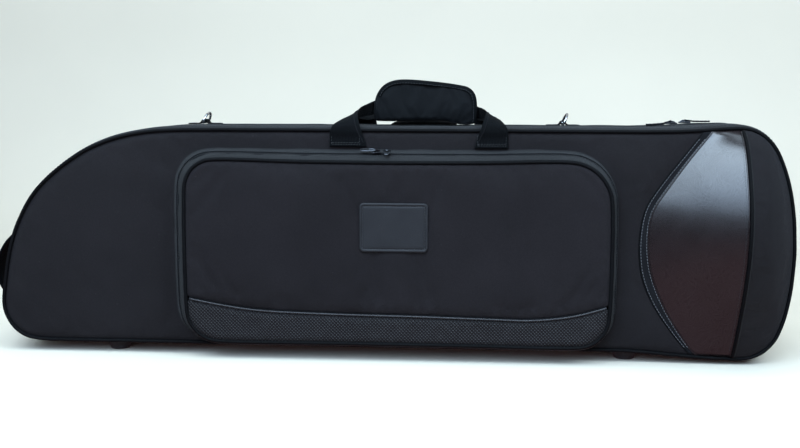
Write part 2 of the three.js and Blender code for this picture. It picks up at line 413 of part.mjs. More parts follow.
add('rear_strap', ribbon([
  V([-48.3, 114.1, 248.5], [18.6, 0, 0], [0, 1.2, 0]), V([-48.3, 114.3, 258], [18.6, 0, 0], [0, 1.2, 0]),
  V([-48.2, 116.3, 266], [18.4, 0, 0], [0, 1.2, 0.1]), V([-47.6, 115.2, 273], [17.5, 0, 0.6], [0, 1.1, 0.9]),
  V([-46.2, 109, 278.2], [14.5, 2, 1.6], [0, 0.7, 1.5]), V([-43.2, 95, 281.6], [11, 3, 1.6], [0, -0.2, 2.0]),
  V([-37, 66, 283.6], [7, 4, 4], [0.4, -1.0, 2.0]), V([-29, 42, 286], [3, 3, 8], [1.4, -2.0, 1.2]),
  V([-20, 24, 289], [0.6, 1, 9.5], [1, -2.5, 0.3]), V([0, 21.4, 290], [0, 0, 9.5], [0, -2.6, 0]),
  V([85, 21.4, 288], [0, 0, 9.5], [0, -2.6, 0]), V([101, 24, 287], [-0.6, 1, 9.2], [-1, -2.5, 0.3]),
  V([107.5, 42, 285], [-3, 3, 7.4], [-1.4, -2.0, 1.2]), V([113.5, 66, 283], [-7, 4, 4], [-0.4, -1.0, 2.0]),
  V([117.6, 95, 281.2], [-11, 3, 1.6], [0, -0.2, 2.0]), V([118.5, 109, 278], [-14.5, 2, 1.6], [0, 0.7, 1.5]),
  V([118.7, 115.2, 273], [-17.5, 0, 0.6], [0, 1.1, 0.9]), V([118.7, 116.3, 266], [-18.4, 0, 0], [0, 1.2, 0.1]),
  V([118.7, 114.3, 258], [-18.6, 0, 0], [0, 1.2, 0]), V([118.7, 114.1, 247.5], [-18.6, 0, 0], [0, 1.2, 0])]), WEB, 0.85);
// padded wrap round the front strap: back part with a through slot, and the front flap
const GRIP = [[-20, 281], [-17.5, 279], [62, 278.6], [76, 275.6], [98, 275], [100.6, 277.5], [100.6, 303], [97.5, 311], [91, 316.5], [80, 319.2], [54, 322.8], [14, 325.6], [2, 324.2], [-7, 320.5], [-13.5, 314.6], [-18, 306], [-20, 296]];
{
  const front = -14.8;
  const body = solid(plate(GRIP, front + 5.9, front + GRIP_T));
  const slot = solid(loft([[-40, 296], [0, 299], [85, 296.5], [120, 292.5]].map(([x, z]) => [[x, -4.2, z - 15], [x, 7.2, z - 15], [x, 7.2, z + 15], [x, -4.2, z + 15]])));
  add('grip_pad', fromSolid(body.subtract(slot)), PAD, 0.85);
  add('grip_flap', plate(GRIP, front, front + 5.5), PAD, 0.85);
}
// low pad on the rear half under the grip
{
  const pts = [[6, 271.7], [6, 273.2], [14, 276], [26, 278], [40, 278.6], [54, 278], [68, 276], [78, 273.2], [78, 271.7]];
  add('top_pad', plate(pts, 24.5, 52), PAD, 0.85);
}

// ---------------------------------------------------------------- end handle on the front half
{
  const y = -28;
  const tab = (name, i0, i1) => add(name, loft([i0, (i0 + i1) / 2, i1].map(f => {
    const i = Math.floor(f), t = f - i, a = rim(i, 0, y), b = rim((i + 1) % N, 0, y), n = NORMAL[i];
    const p = [lerp(a[0], b[0], t), lerp(a[2], b[2], t)];
    return [[4.9, -12.5], [4.9, 12.5], [6.9, 12.5], [6.9, -12.5]].map(([o, dy]) => [p[0] + n[0] * o, y + dy, p[1] + n[1] * o]);
  })), WEB, 0.85);
  tab('end_handle_tab_upper', 53.1, 53.9);
  tab('end_handle_tab_lower', 58.1, 58.9);
  const s = (x, z, w, nx, nz) => V([x, y, z], [0, w, 0], [nx * 1.2, 0, nz * 1.2]);
  add('end_handle', ribbon([s(-475.5, 57.5, 5.5, -0.6, -0.8), s(-483, 66, 9, -0.75, -0.66), s(-489.5, 79, 12, -0.94, -0.34), s(-491.3, 95, 12.5, -1, 0.05), s(-488, 111, 12.3, -0.94, 0.34), s(-478.5, 126, 9, -0.8, 0.6), s(-466.5, 137, 5.5, -0.64, 0.77)]), WEB, 0.85);
}

// ---------------------------------------------------------------- fitted inside of the rear half
const BED_FRONT = 66, BED_BACK = mirror(-64.9) - 0.4;
const inRear = (off, y0) => tower([[off, y0], [off, PART_Y + 60], [off, BED_BACK]]);
{
  const channel = plate([[-436, 72], [368, 72], [368, 190], [-402, 190], [-414, 182], [-436, 136]], BED_FRONT - 5, BED_BACK - 3);
  let bed = solid(inRear(-6.5, BED_FRONT)).subtract(solid(channel));
  bed = bed.subtract(solid(box(371.6, 520, 0, 200, -20, 300)));
  add('slide_bed', fromSolid(bed), FOAM, 0.95);
  // conical recess for the bell
  const prof = [[0, 370], [62, 370], [70, 388], [80, 404], [93, 420], [111, 436], [111, 470], [0, 470]].map(([r, x]) => new THREE.Vector2(r, x));
  const cone = new THREE.LatheGeometry(prof, 28);
  cone.rotateZ(-Math.PI / 2); cone.translate(0, BELL_AXIS_Y, BELL_AXIS_Z);
  const blk = solid(inRear(-6.5, 22)).intersect(solid(box(372, 520, 0, 200, -20, 300)));
  add('bell_cradle', fromSolid(blk.subtract(solid(cone))), FOAM, 0.95);
}
function saddle(name, x0, x1, z0, z1, zc, r) {
  const pts = [[BED_FRONT - 0.3, z0], [BELL_AXIS_Y, z0], [BELL_AXIS_Y, zc - r]];
  for (let k = 1; k < 8; k++) { const a = -Math.PI / 2 + k * Math.PI / 8; pts.push([BELL_AXIS_Y + r * Math.cos(a), zc + r * Math.sin(a)]); }
  pts.push([BELL_AXIS_Y, zc + r], [BELL_AXIS_Y, z1], [BED_FRONT - 0.3, z1]);
  add(name, extrudeX(pts, x0, x1), FOAM, 0.95);
}
saddle('saddle_upper', -300, -250, 194, 240, 217, 13);
saddle('saddle_lower', -300, -250, 24, 70, 47, 13);
saddle('saddle_neck', -45, 0, 194, 240, 217, 11);
add('saddle_strap_upper', box(-287, -263, BELL_AXIS_Y - 2.2, BELL_AXIS_Y - 0.4, 196, 240), WEB, 0.9);
add('saddle_strap_lower', box(-287, -263, BELL_AXIS_Y - 2.2, BELL_AXIS_Y - 0.4, 24, 68), WEB, 0.9);
add('saddle_strap_neck', box(-34, -10, BELL_AXIS_Y - 2.2, BELL_AXIS_Y - 0.4, 196, 240), WEB, 0.9);
add('slide_strap_left', box(-162, -137, BED_FRONT - 2.2, BED_FRONT - 0.4, 66, 196), WEB, 0.9);
add('slide_strap_right', box(137, 162, BED_FRONT - 2.2, BED_FRONT - 0.4, 66, 196), WEB, 0.9);
{
  let b = solid(box(62, 130, 24, BED_FRONT - 0.3, 200, 248));
  // two blind sockets for a mouthpiece shank, open to the front
  for (const x of [80, 112]) b = b.subtract(solid(new THREE.CylinderGeometry(6.5, 8, 50, 14).translate(x, 31, 224)));
  add('mouthpiece_block', fromSolid(b), FOAM, 0.95);
  add('accessory_divider', box(196, 202, 18, BED_FRONT - 0.3, 194, 258), FOAM, 0.95);
}

export default root;
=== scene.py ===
# Looks of a soft trombone case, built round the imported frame.
# The tables below are millimetres in the case's own drawing frame; SHIFT moves them to the row frame.
import json
import math
import bpy
import bmesh
import numpy as np
from mathutils import Matrix, Quaternion, Vector
from mathutils.geometry import delaunay_2d_cdt

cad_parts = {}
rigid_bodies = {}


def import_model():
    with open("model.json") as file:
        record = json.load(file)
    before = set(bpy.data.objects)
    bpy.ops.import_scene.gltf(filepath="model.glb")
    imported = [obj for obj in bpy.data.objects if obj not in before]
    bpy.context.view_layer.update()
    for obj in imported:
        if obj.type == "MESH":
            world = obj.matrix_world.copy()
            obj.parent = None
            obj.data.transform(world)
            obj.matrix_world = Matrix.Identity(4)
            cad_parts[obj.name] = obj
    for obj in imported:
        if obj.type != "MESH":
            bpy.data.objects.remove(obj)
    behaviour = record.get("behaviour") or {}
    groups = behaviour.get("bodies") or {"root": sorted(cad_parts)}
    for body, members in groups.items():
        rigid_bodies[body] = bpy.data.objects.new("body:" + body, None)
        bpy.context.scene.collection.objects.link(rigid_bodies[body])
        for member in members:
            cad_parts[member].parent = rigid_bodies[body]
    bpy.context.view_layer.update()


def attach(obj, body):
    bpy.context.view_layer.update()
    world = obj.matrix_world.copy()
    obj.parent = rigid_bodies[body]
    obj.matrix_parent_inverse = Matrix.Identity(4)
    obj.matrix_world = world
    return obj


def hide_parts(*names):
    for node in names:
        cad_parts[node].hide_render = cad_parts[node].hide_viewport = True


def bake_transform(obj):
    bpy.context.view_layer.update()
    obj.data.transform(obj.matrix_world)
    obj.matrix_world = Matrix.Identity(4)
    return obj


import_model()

SHIFT = np.array([12.6, 7.073, 0.0])
BELL_Y = -10.0
FRONT_Y, REAR_Y, PART_Y, BOTTOM_Z, PUFF = -75.0, 112.0, 15.0, 14.2, 4.5
RIM_X, TOP_Z = 397.0, 266.8
FRONT_IN = 14.6
OUTLINE = [
    (-395, 14.2), (-330, 14.2), (-200, 14.2), (0, 14.2), (150, 14.2), (268, 14.2), (292, 13.4), (312, 11.8),
    (335, 10.0), (360, 8.2), (385, 7.2), (406, 7.0), (420, 9.6), (431, 15), (439, 22.4), (445.3, 31), (450, 42),
    (454, 55), (457.2, 70), (459.8, 88), (461.3, 108), (461.8, 130), (461, 150), (459, 172), (455.6, 193),
    (450.6, 213), (444.3, 231), (437, 246), (428.5, 257), (418.5, 264.8), (408, 269.3), (397, 270.8), (380, 270.4),
    (362, 269.2), (340, 267.8), (315, 267.0), (285, 266.8), (150, 266.8), (0, 266.8), (-120, 266.8), (-220, 266.6),
    (-245, 266.2), (-268, 265.2), (-292, 262.4), (-315, 257.6), (-338, 250.2), (-358, 240.9), (-377, 229.2),
    (-393, 217.4), (-407, 205.4), (-419, 192.5), (-429, 178.6), (-437.5, 163.5), (-444.8, 147.5), (-450.5, 131),
    (-455.2, 112), (-458.9, 92), (-461.8, 73), (-463, 60), (-461.8, 48.5), (-458, 38.5), (-452, 29.6),
    (-443.8, 22.3), (-433, 17), (-417, 14.6)]
SEAM = [(-2, 370), (9, 358.7), (17.3, 349.3), (46.2, 329), (75.1, 313.3), (109.7, 300.8), (144.3, 297.2),
        (166, 298.8), (181, 303.6), (204.9, 318.6), (236.6, 340.7), (268, 364.7), (280, 373.8)]
STRIP = [(-2, 361), (14.4, 347.2), (37.5, 327.8), (68.8, 306.4), (98.9, 293.4), (130.1, 288.8), (161.1, 290.4),
         (178, 294.2), (189.8, 299.6), (216, 317.2), (231.9, 329.4), (246.6, 340.4), (268, 356.6), (280, 365.6)]
BULGE = [(5, 0), (9, 0.8), (12, 3.2), (18, 7.2), (27, 12.2), (46, 21), (66, 29.8), (86, 38), (108, 45.2),
         (125, 49.8), (139, 52.2), (152, 53.4), (165, 53.2), (180, 51.6), (198, 47.4), (216, 40.6), (237, 31),
         (253, 21.2), (262, 12), (267, 5), (269.6, 0.6), (275, 0)]
ROWS = [9, 12, 18, 27, 46, 66, 86, 108, 125, 139, 152, 165, 180, 198, 216, 237, 253, 262, 267, 269.6]

# ------------------------------------------------------------------ curves


def crom(P, closed=False, per=14, key=None):
    """Smooth curve through points; extra columns are carried along."""
    P = np.asarray(P, float)
    m, out = len(P), []
    k = key or P.shape[1]
    for i in range(m if closed else m - 1):
        if closed:
            a, b, c, d = P[i - 1], P[i], P[(i + 1) % m], P[(i + 2) % m]
        else:
            b, c = P[i], P[i + 1]
            a = P[i - 1] if i else 2 * b - c
            d = P[i + 2] if i + 2 < m else 2 * c - b
        gap = lambda p, q: max(float(np.linalg.norm(q[:k] - p[:k])), 1e-6) ** 0.5
        t0 = 0.0
        t1 = t0 + gap(a, b)
        t2 = t1 + gap(b, c)
        t3 = t2 + gap(c, d)
        t = np.linspace(t1, t2, per, endpoint=False)[:, None]
        a1 = (t1 - t) / (t1 - t0) * a + (t - t0) / (t1 - t0) * b
        a2 = (t2 - t) / (t2 - t1) * b + (t - t1) / (t2 - t1) * c
        a3 = (t3 - t) / (t3 - t2) * c + (t - t2) / (t3 - t2) * d
        b1 = (t2 - t) / (t2 - t0) * a1 + (t - t0) / (t2 - t0) * a2
        b2 = (t3 - t) / (t3 - t1) * a2 + (t - t1) / (t3 - t1) * a3
        out.append((t2 - t) / (t2 - t1) * b1 + (t - t1) / (t2 - t1) * b2)
    if not closed:
        out.append(P[-1:])
    return np.concatenate(out)


def spaced(Q, n, closed=False, key=None):
    Q = np.asarray(Q, float)
    if closed:
        Q = np.concatenate([Q, Q[:1]])
    k = key or Q.shape[1]
    s = np.concatenate([[0], np.cumsum(np.linalg.norm(np.diff(Q[:, :k], axis=0), axis=1))])
    t = np.linspace(0, s[-1], n, endpoint=not closed)
    return np.stack([np.interp(t, s, Q[:, j]) for j in range(Q.shape[1])], 1)


def length_along(Q):
    return np.concatenate([[0], np.cumsum(np.linalg.norm(np.diff(Q, axis=0), axis=1))])


def normal_2d(P, closed=True):
    if closed:
        t = np.roll(P, -1, 0) - np.roll(P, 1, 0)
    else:
        t = np.gradient(P, axis=0)
    t /= np.linalg.norm(t, axis=1)[:, None]
    return np.stack([t[:, 1], -t[:, 0]], 1)


OUT = spaced(crom(OUTLINE, True), 960, True)
ON = normal_2d(OUT)
NO = len(OUT)
OS = length_along(np.concatenate([OUT, OUT[:1]]))[:-1]


def table(rows):
    q = crom(rows, per=12)
    o = np.argsort(q[:, 0])
    return lambda z: np.interp(z, q[o, 0], q[o, 1])


seam, strip, bulge = table(SEAM), table(STRIP), table(BULGE)


def rim(off, y, idx=None):
    """Points of the outline moved outwards by off at depth y."""
    p, n = (OUT, ON) if idx is None else (OUT[idx], ON[idx])
    off, y = np.broadcast_to(off, len(p)), np.broadcast_to(y, len(p))
    s = np.maximum(0, 1 - np.abs(y - PART_Y) / 60)
    lift = np.where(p[:, 1] < BOTTOM_Z, (BOTTOM_Z - p[:, 1]) * s, 0)
    return np.stack([p[:, 0] + n[:, 0] * off, y, p[:, 1] + n[:, 1] * off + lift], 1)


def nearest(x, z):
    return int(np.argmin((OUT[:, 0] - x) ** 2 + (OUT[:, 1] - z) ** 2))


def wob(x, z, wave, seed, n=7):
    """Smooth random waviness of amplitude about 1, the same on each run."""
    r = np.random.RandomState(seed)
    f = 0
    for _ in range(n):
        a, k, ph = r.rand() * math.pi * 2, 2 * math.pi / (wave * (0.6 + 0.9 * r.rand())), r.rand() * 6.3
        f = f + np.sin(k * (x * math.cos(a) + z * math.sin(a)) + ph)
    return f / math.sqrt(n / 2) * 0.6


def edge_distance(x, z, B):
    """Distance of points to a closed polyline B."""
    P = np.stack([x, z], 1)
    A, C = B, np.roll(B, -1, 0)
    D = C - A
    L = (D ** 2).sum(1) + 1e-12
    out = np.empty(len(P))
    for i in range(0, len(P), 2000):
        q = P[i:i + 2000, None, :] - A[None]
        t = np.clip((q * D[None]).sum(2) / L[None], 0, 1)
        out[i:i + 2000] = np.sqrt(((q - t[..., None] * D[None]) ** 2).sum(2).min(1))
    return out


# ------------------------------------------------------------------ meshes


def new_mesh(name, V, polys, cl=None):
    me = bpy.data.meshes.new(name)
    V = (np.asarray(V, float) + SHIFT) / 1000
    me.vertices.add(len(V))
    me.vertices.foreach_set("co", V.astype(np.float32).ravel())
    polys = [np.asarray(p, int) for p in polys if len(p)]
    me.loops.add(sum(p.size for p in polys))
    me.polygons.add(sum(len(p) for p in polys))
    me.loops.foreach_set("vertex_index", np.concatenate([p.ravel() for p in polys]).astype(np.int32))
    counts = np.concatenate([np.full(len(p), p.shape[1]) for p in polys])
    me.polygons.foreach_set("loop_start", np.concatenate([[0], np.cumsum(counts)[:-1]]).astype(np.int32))
    me.polygons.foreach_set("use_smooth", np.ones(len(counts), bool))
    me.update(calc_edges=True)
    me.validate()
    if cl is not None:
        give_cl(me, cl)
    return me


def give_cl(me, cl):
    cl = np.asarray(cl, float)
    if cl.shape[1] == 2:
        cl = np.concatenate([cl, np.zeros((len(cl), 1))], 1)
    a = me.attributes.get("cl") or me.attributes.new("cl", "FLOAT_VECTOR", "POINT")
    a.data.foreach_set("vector", cl.astype(np.float32).ravel())


def put(name, V, polys, body, mat, cl=None, thick=0.0, outward=None, closed=False, sharp=None):
    """A piece from vertices in drawing millimetres. thick makes a sheet a closed cover, inwards."""
    me = new_mesh(name, V, polys, cl)
    o = bpy.data.objects.new(name, me)
    bpy.context.scene.collection.objects.link(o)
    if closed:
        bm = bmesh.new()
        bm.from_mesh(me)
        bmesh.ops.recalc_face_normals(bm, faces=bm.faces)
        bm.to_mesh(me)
        bm.free()
    elif outward is not None:
        n = np.zeros(len(me.polygons) * 3)
        me.polygons.foreach_get("normal", n)
        c = np.zeros(len(me.polygons) * 3)
        me.polygons.foreach_get("center", c)
        ar = np.zeros(len(me.polygons))
        me.polygons.foreach_get("area", ar)
        n, c = n.reshape(-1, 3), c.reshape(-1, 3)
        if isinstance(outward, str):
            d = c - c.mean(0)
            d[:, 1] = 0
            score = ((n * d).sum(1) * ar).sum()
        else:
            score = ((n * np.array(outward, float)).sum(1) * ar).sum()
        if score < 0:
            me.flip_normals()
    me.materials.append(mat)
    if thick:
        m = o.modifiers.new("thickness", "SOLIDIFY")
        m.thickness, m.offset, m.use_rim = thick / 1000, -1, True
    if sharp:
        me.set_sharp_from_angle(angle=math.radians(sharp))
    if body:
        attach(o, body)
    return o


def quads(k, m, wk=False, wm=False, base=0):
    i = np.arange(k if wk else k - 1)[:, None]
    j = np.arange(m if wm else m - 1)[None, :]
    a, b = i * m + j, i * m + (j + 1) % m
    c, d = ((i + 1) % k) * m + (j + 1) % m, ((i + 1) % k) * m + j
    return np.stack([a, b, c, d], -1).reshape(-1, 4) + base


def band(name, section, body, mat, idx=None, thick=1.2, at=rim, s=None, both=None):
    """A strip that follows the outline; section is a list of (offset, depth)."""
    rows = [at(o, y, idx) for o, y in section]
    V = np.stack(rows, 1)
    k, m = V.shape[:2]
    t = length_along(np.array(section, float))
    if s is None:
        s = OS if idx is None else OS[idx]
    cl = np.stack([np.broadcast_to(s[:, None], (k, m)), np.broadcast_to(t[None], (k, m))], -1)
    return put(name, V.reshape(-1, 3), [quads(k, m, idx is None, False)], body, mat, cl.reshape(-1, 2), thick, "round")


def smooth_section(pts, n):
    return [tuple(p) for p in spaced(crom(pts, per=10), n)]


def frames_of(path, closed, ref=None):
    t = (np.roll(path, -1, 0) - np.roll(path, 1, 0)) if closed else np.gradient(path, axis=0)
    t /= np.linalg.norm(t, axis=1)[:, None] + 1e-12
    if ref is not None:
        ref = np.broadcast_to(np.asarray(ref, float), path.shape)
        s = np.cross(t, ref)
        s /= np.linalg.norm(s, axis=1)[:, None] + 1e-12
        return t, s, np.cross(s, t)
    u = np.array([0, 0, 1.0]) if abs(t[0, 2]) < 0.9 else np.array([1.0, 0, 0])
    S, U = np.zeros_like(path), np.zeros_like(path)
    for i in range(len(path)):
        s = np.cross(t[i], u)
        s /= np.linalg.norm(s) + 1e-12
        u = np.cross(s, t[i])
        S[i], U[i] = s, u
    return t, S, U


def sweep(path, sec, closed=False, ref=None, scale=None):
    """Vertices, faces and cloth coordinates of a section swept along a path."""
    path = np.asarray(path, float)
    sec = np.asarray(sec, float)
    _, S, U = frames_of(path, closed, ref)
    sc = np.ones(len(path)) if scale is None else np.asarray(scale, float)
    V = path[:, None] + S[:, None] * (sec[None, :, 0, None] * sc[:, None, None]) + U[:, None] * (sec[None, :, 1, None] * sc[:, None, None])
    k, m = V.shape[:2]
    polys = [quads(k, m, closed, True)]
    if not closed:
        polys += [np.arange(m)[None, ::-1], (np.arange(m) + (k - 1) * m)[None]]
    a = length_along(path)
    b = length_along(np.concatenate([sec, sec[:1]]))[:-1]
    cl = np.stack([np.broadcast_to(b[None], (k, m)), np.broadcast_to(a[:, None], (k, m))], -1)
    return V.reshape(-1, 3), polys, cl.reshape(-1, 2)


def circle(r, n, flat=1.0):
    a = (np.arange(n) + 0.5) * 2 * math.pi / n
    return np.stack([r * np.cos(a), r * flat * np.sin(a)], 1)


def tube(name, path, r, body, mat, closed=False, sides=12, ref=None):
    V, P, cl = sweep(path, circle(r, sides), closed, ref)
    return put(name, V, P, body, mat, cl, closed=True)


RIBBON_A = np.array([-1, -0.985, -0.94, -0.6, -0.2, 0.2, 0.6, 0.94, 0.985])
RIBBON_B = np.array([0, 0.62, 1, 1, 1, 1, 1, 1, 0.62])


def ribbon_data(C, W, T):
    """A strap from centres, half-width vectors and half-thickness vectors."""
    a = np.concatenate([RIBBON_A, -RIBBON_A])
    b = np.concatenate([RIBBON_B, -RIBBON_B])
    V = C[:, None] + W[:, None] * a[None, :, None] + T[:, None] * b[None, :, None]
    k, m = V.shape[:2]
    P = [quads(k, m, False, True), np.arange(m)[None, ::-1], (np.arange(m) + (k - 1) * m)[None]]
    w = np.linalg.norm(W, axis=1)
    cl = np.stack([w[:, None] * a[None], np.broadcast_to(length_along(C)[:, None], (k, m))], -1)
    return V.reshape(-1, 3), P, cl.reshape(-1, 2)


def ribbon(name, C, W, T, body, mat):
    V, P, cl = ribbon_data(C, W, T)
    return put(name, V, P, body, mat, cl, closed=True)


def merge(parts):
    """Joins (V, polys, cl) lists into one."""
    Vs, Ps, Cs, base = [], [], [], 0
    for V, P, cl in parts:
        Vs.append(V)
        Cs.append(cl if cl is not None else np.zeros((len(V), 2)))
        Ps += [np.asarray(p) + base for p in P]
        base += len(V)
    return np.concatenate(Vs), Ps, np.concatenate(Cs)


def flat_mesh(B, gap, rings=(1.0, 2.2, 4.0, 6.5, 10.0), ring_gap=None, inner=None):
    """Triangulates the inside of polygon B [x, z], finer near its edge. Returns points and triangles."""
    B = np.asarray(B, float)
    pts = [B]
    n = normal_2d(B)
    for k, r in enumerate(rings):
        q = B - n * r
        keep = edge_distance(q[:, 0], q[:, 1], B) > r * 0.93
        q = q[keep]
        step = max(1, int(round((1 + k * 0.6))))
        pts.append(q[::step])
    lo, hi = B.min(0), B.max(0)
    last = rings[-1] if rings else 0
    gx, gz = np.meshgrid(np.arange(lo[0] + gap / 2, hi[0], gap), np.arange(lo[1] + gap / 2, hi[1], gap))
    gx = gx + (np.arange(gx.shape[0])[:, None] % 2) * gap / 2
    g = np.stack([gx.ravel(), gz.ravel()], 1)
    if inner is not None:
        g = np.concatenate([g, np.asarray(inner, float)])
    inside = np.zeros(len(g), bool)
    x, z = g[:, 0], g[:, 1]
    A, C = B, np.roll(B, -1, 0)
    for a, c in zip(A, C):
        cross = ((a[1] > z) != (c[1] > z)) & (x < (c[0] - a[0]) * (z - a[1]) / (c[1] - a[1] + 1e-12) + a[0])
        inside ^= cross
    g = g[inside]
    g = g[edge_distance(g[:, 0], g[:, 1], B) > last + gap * 0.4]
    pts.append(g)
    P = np.concatenate(pts)
    nb = len(B)
    edges = [(i, (i + 1) % nb) for i in range(nb)]
    v, e, f, *_ = delaunay_2d_cdt([Vector((float(a), float(b))) for a, b in P], edges, [], 1, 1e-5)
    return np.array([tuple(q) for q in v]), np.array([t for t in f if len(t) == 3], int)


def in_polygon(x, z, B):
    inside = np.zeros(len(x), bool)
    for a, c in zip(B, np.roll(B, -1, 0)):
        inside ^= ((a[1] > z) != (c[1] > z)) & (x < (c[0] - a[0]) * (z - a[1]) / (c[1] - a[1] + 1e-12) + a[0])
    return inside


CAP_T = np.array([-1, -0.72, 0, 0.72, 1.0])
CAP_R = np.array([0.12, 0.8, 1.0, 0.8, 0.12])


def unit(v):
    return v / (np.linalg.norm(v, axis=-1, keepdims=True) + 1e-12)


def capsules(mid, fwd, up, h, r, flat=0.8, wide=1.0):
    """Small rounded bars centred at mid and pointing along fwd."""
    mid = np.asarray(mid, float)
    n = len(mid)
    fwd = unit(np.broadcast_to(np.asarray(fwd, float), mid.shape))
    side = unit(np.cross(fwd, np.broadcast_to(np.asarray(up, float), mid.shape)))
    up = np.cross(side, fwd)
    a = np.arange(6) * math.pi / 3
    rr = CAP_R * r
    V = (mid[:, None, None] + fwd[:, None, None] * (CAP_T * h)[None, :, None, None]
         + side[:, None, None] * (wide * rr[None, :, None] * np.cos(a)[None, None])[..., None]
         + up[:, None, None] * (flat * rr[None, :, None] * np.sin(a)[None, None])[..., None])
    q = quads(5, 6, False, True)
    base = (np.arange(n) * 30)[:, None, None]
    P = [(q[None] + base).reshape(-1, 4), (np.arange(6)[None, ::-1] + base[:, 0]), (np.arange(6)[None] + 24 + base[:, 0])]
    one = np.stack([np.broadcast_to(np.arange(6)[None] * 0.3, (5, 6)), np.broadcast_to((CAP_T * h)[:, None], (5, 6))], -1)
    cl = np.broadcast_to(one.reshape(1, 30, 2), (n, 30, 2)).reshape(-1, 2)
    return V.reshape(-1, 3), P, cl


def marks(path, pitch, field=None):
    """Evenly spaced points on a path, their directions, and a second field taken along."""
    path = np.asarray(path, float)
    s = length_along(path)
    n = max(1, int(s[-1] / pitch))
    c = (np.arange(n) + 0.5) * s[-1] / n
    pick = lambda F, at: np.stack([np.interp(at, s, F[:, j]) for j in range(3)], 1)
    mid = pick(path, c)
    fwd = unit(pick(path, c + 0.4) - pick(path, c - 0.4))
    return mid, fwd, None if field is None else pick(np.broadcast_to(np.asarray(field, float), path.shape), c)


def stitches(name, runs, body, mat, long=2.6, gap=1.2, r=0.34):
    """Rows of raised stitches. Each run is (path, normals)."""
    parts = []
    for path, nrm in runs:
        mid, fwd, up = marks(path, long + gap, nrm)
        parts.append(capsules(mid, fwd, up, long / 2, r))
    V, P, cl = merge(parts)
    return put(name, V, P, body, mat, cl, closed=True)


def clip_run(P, keep):
    i0 = np.where(keep & ~np.roll(keep, 1))[0][0]
    return P[(i0 + np.arange(int(keep.sum()))) % len(P)]


def walk(a, b, gap):
    """Numbers from a to b at about the gap, without the ends."""
    n = max(2, int(abs(b - a) / gap) + 1)
    return np.linspace(a, b, n + 1)[1:-1]


def coords_of(o):
    v = np.empty(len(o.data.vertices) * 3)
    o.data.vertices.foreach_get("co", v)
    return v.reshape(-1, 3) * 1000 - SHIFT


def move_to(o, V):
    o.data.vertices.foreach_set("co", ((V + SHIFT) / 1000).astype(np.float32).ravel())
    o.data.update()


def thicken(o, mm):
    m = o.modifiers.new("thickness", "SOLIDIFY")
    m.thickness, m.offset, m.use_rim = mm / 1000, -1, True


def inflate(o, pins, pressure=3.0, grow=0.02, cap=6.0, frames=20, gravity=0.0, bend=0.6, stiff=15.0):
    """Cloth simulation of a sewn cover: its edge is pinned, the padding presses from inside."""
    g = o.vertex_groups.new(name="pins")
    g.add([int(i) for i in np.where(pins)[0]], 1.0, "REPLACE")
    m = o.modifiers.new("cover", "CLOTH")
    s = m.settings
    s.quality = 5
    s.mass = 0.25
    s.tension_stiffness = s.compression_stiffness = s.shear_stiffness = stiff
    s.bending_stiffness = bend
    s.use_pressure = True
    s.uniform_pressure_force = pressure
    s.shrink_min = s.shrink_max = -grow
    s.vertex_group_mass = "pins"
    s.effector_weights.gravity = gravity
    m.collision_settings.use_collision = False
    m.collision_settings.use_self_collision = False
    m.point_cache.frame_start, m.point_cache.frame_end = 1, frames
    sc = bpy.context.scene
    for f in range(1, frames + 1):
        sc.frame_set(f)
    ev = o.evaluated_get(bpy.context.evaluated_depsgraph_get())
    v = np.empty(len(o.data.vertices) * 3)
    ev.data.vertices.foreach_get("co", v)
    new, old = v.reshape(-1, 3) * 1000 - SHIFT, coords_of(o)
    o.modifiers.remove(m)
    o.vertex_groups.remove(g)
    d = new - old
    d[~np.isfinite(d).all(1)] = 0
    l = np.linalg.norm(d, axis=1)
    d *= (cap * np.tanh(l / cap) / np.maximum(l, 1e-9))[:, None]
    move_to(o, old + d)
    sc.frame_set(1)


def sheet(o, wide, long, area=None, held="stretched", **k):
    """Takes a piece of cloth with its cut size in millimetres and records nothing; tapes under 10 mm return at once as
    trimmings, not sheets.
    """
    if wide < 10:
        return


def area_of(o, closed=False):
    a = np.empty(len(o.data.polygons))
    o.data.polygons.foreach_get("area", a)
    return a.sum() * 1e6 * (0.5 if closed else 1.0)


# ------------------------------------------------------------------ materials


def start(name):
    m = bpy.data.materials.new(name)
    m.use_nodes = True
    nt = m.node_tree
    nt.nodes.clear()
    out = nt.nodes.new("ShaderNodeOutputMaterial")
    bs = nt.nodes.new("ShaderNodeBsdfPrincipled")
    nt.links.new(bs.outputs[0], out.inputs[0])
    return m, nt, bs


def mth(nt, op, *args, clamp=False):
    n = nt.nodes.new("ShaderNodeMath")
    n.operation, n.use_clamp = op, clamp
    for i, v in enumerate(args):
        if isinstance(v, (int, float)):
            n.inputs[i].default_value = v
        else:
            nt.links.new(v, n.inputs[i])
    return n.outputs[0]


def coords(nt, how):
    """Cloth coordinates in millimetres."""
    if how == "cl":
        a = nt.nodes.new("ShaderNodeAttribute")
        a.attribute_type, a.attribute_name = "GEOMETRY", "cl"
        s = nt.nodes.new("ShaderNodeSeparateXYZ")
        nt.links.new(a.outputs["Vector"], s.inputs[0])
        return s.outputs[0], s.outputs[1]
    tc = nt.nodes.new("ShaderNodeTexCoord")
    s, n = nt.nodes.new("ShaderNodeSeparateXYZ"), nt.nodes.new("ShaderNodeSeparateXYZ")
    nt.links.new(tc.outputs["Object"], s.inputs[0])
    nt.links.new(tc.outputs["Normal"], n.inputs[0])
    x, y, z = (mth(nt, "MULTIPLY", s.outputs[i], 1000.0) for i in range(3))
    ax = mth(nt, "GREATER_THAN", mth(nt, "ABSOLUTE", n.outputs[0]), 0.7)
    az = mth(nt, "GREATER_THAN", mth(nt, "ABSOLUTE", n.outputs[2]), 0.7)
    pick = lambda p, q, f: mth(nt, "ADD", mth(nt, "MULTIPLY", p, mth(nt, "SUBTRACT", 1.0, f)), mth(nt, "MULTIPLY", q, f))
    return pick(x, y, ax), pick(z, y, az)


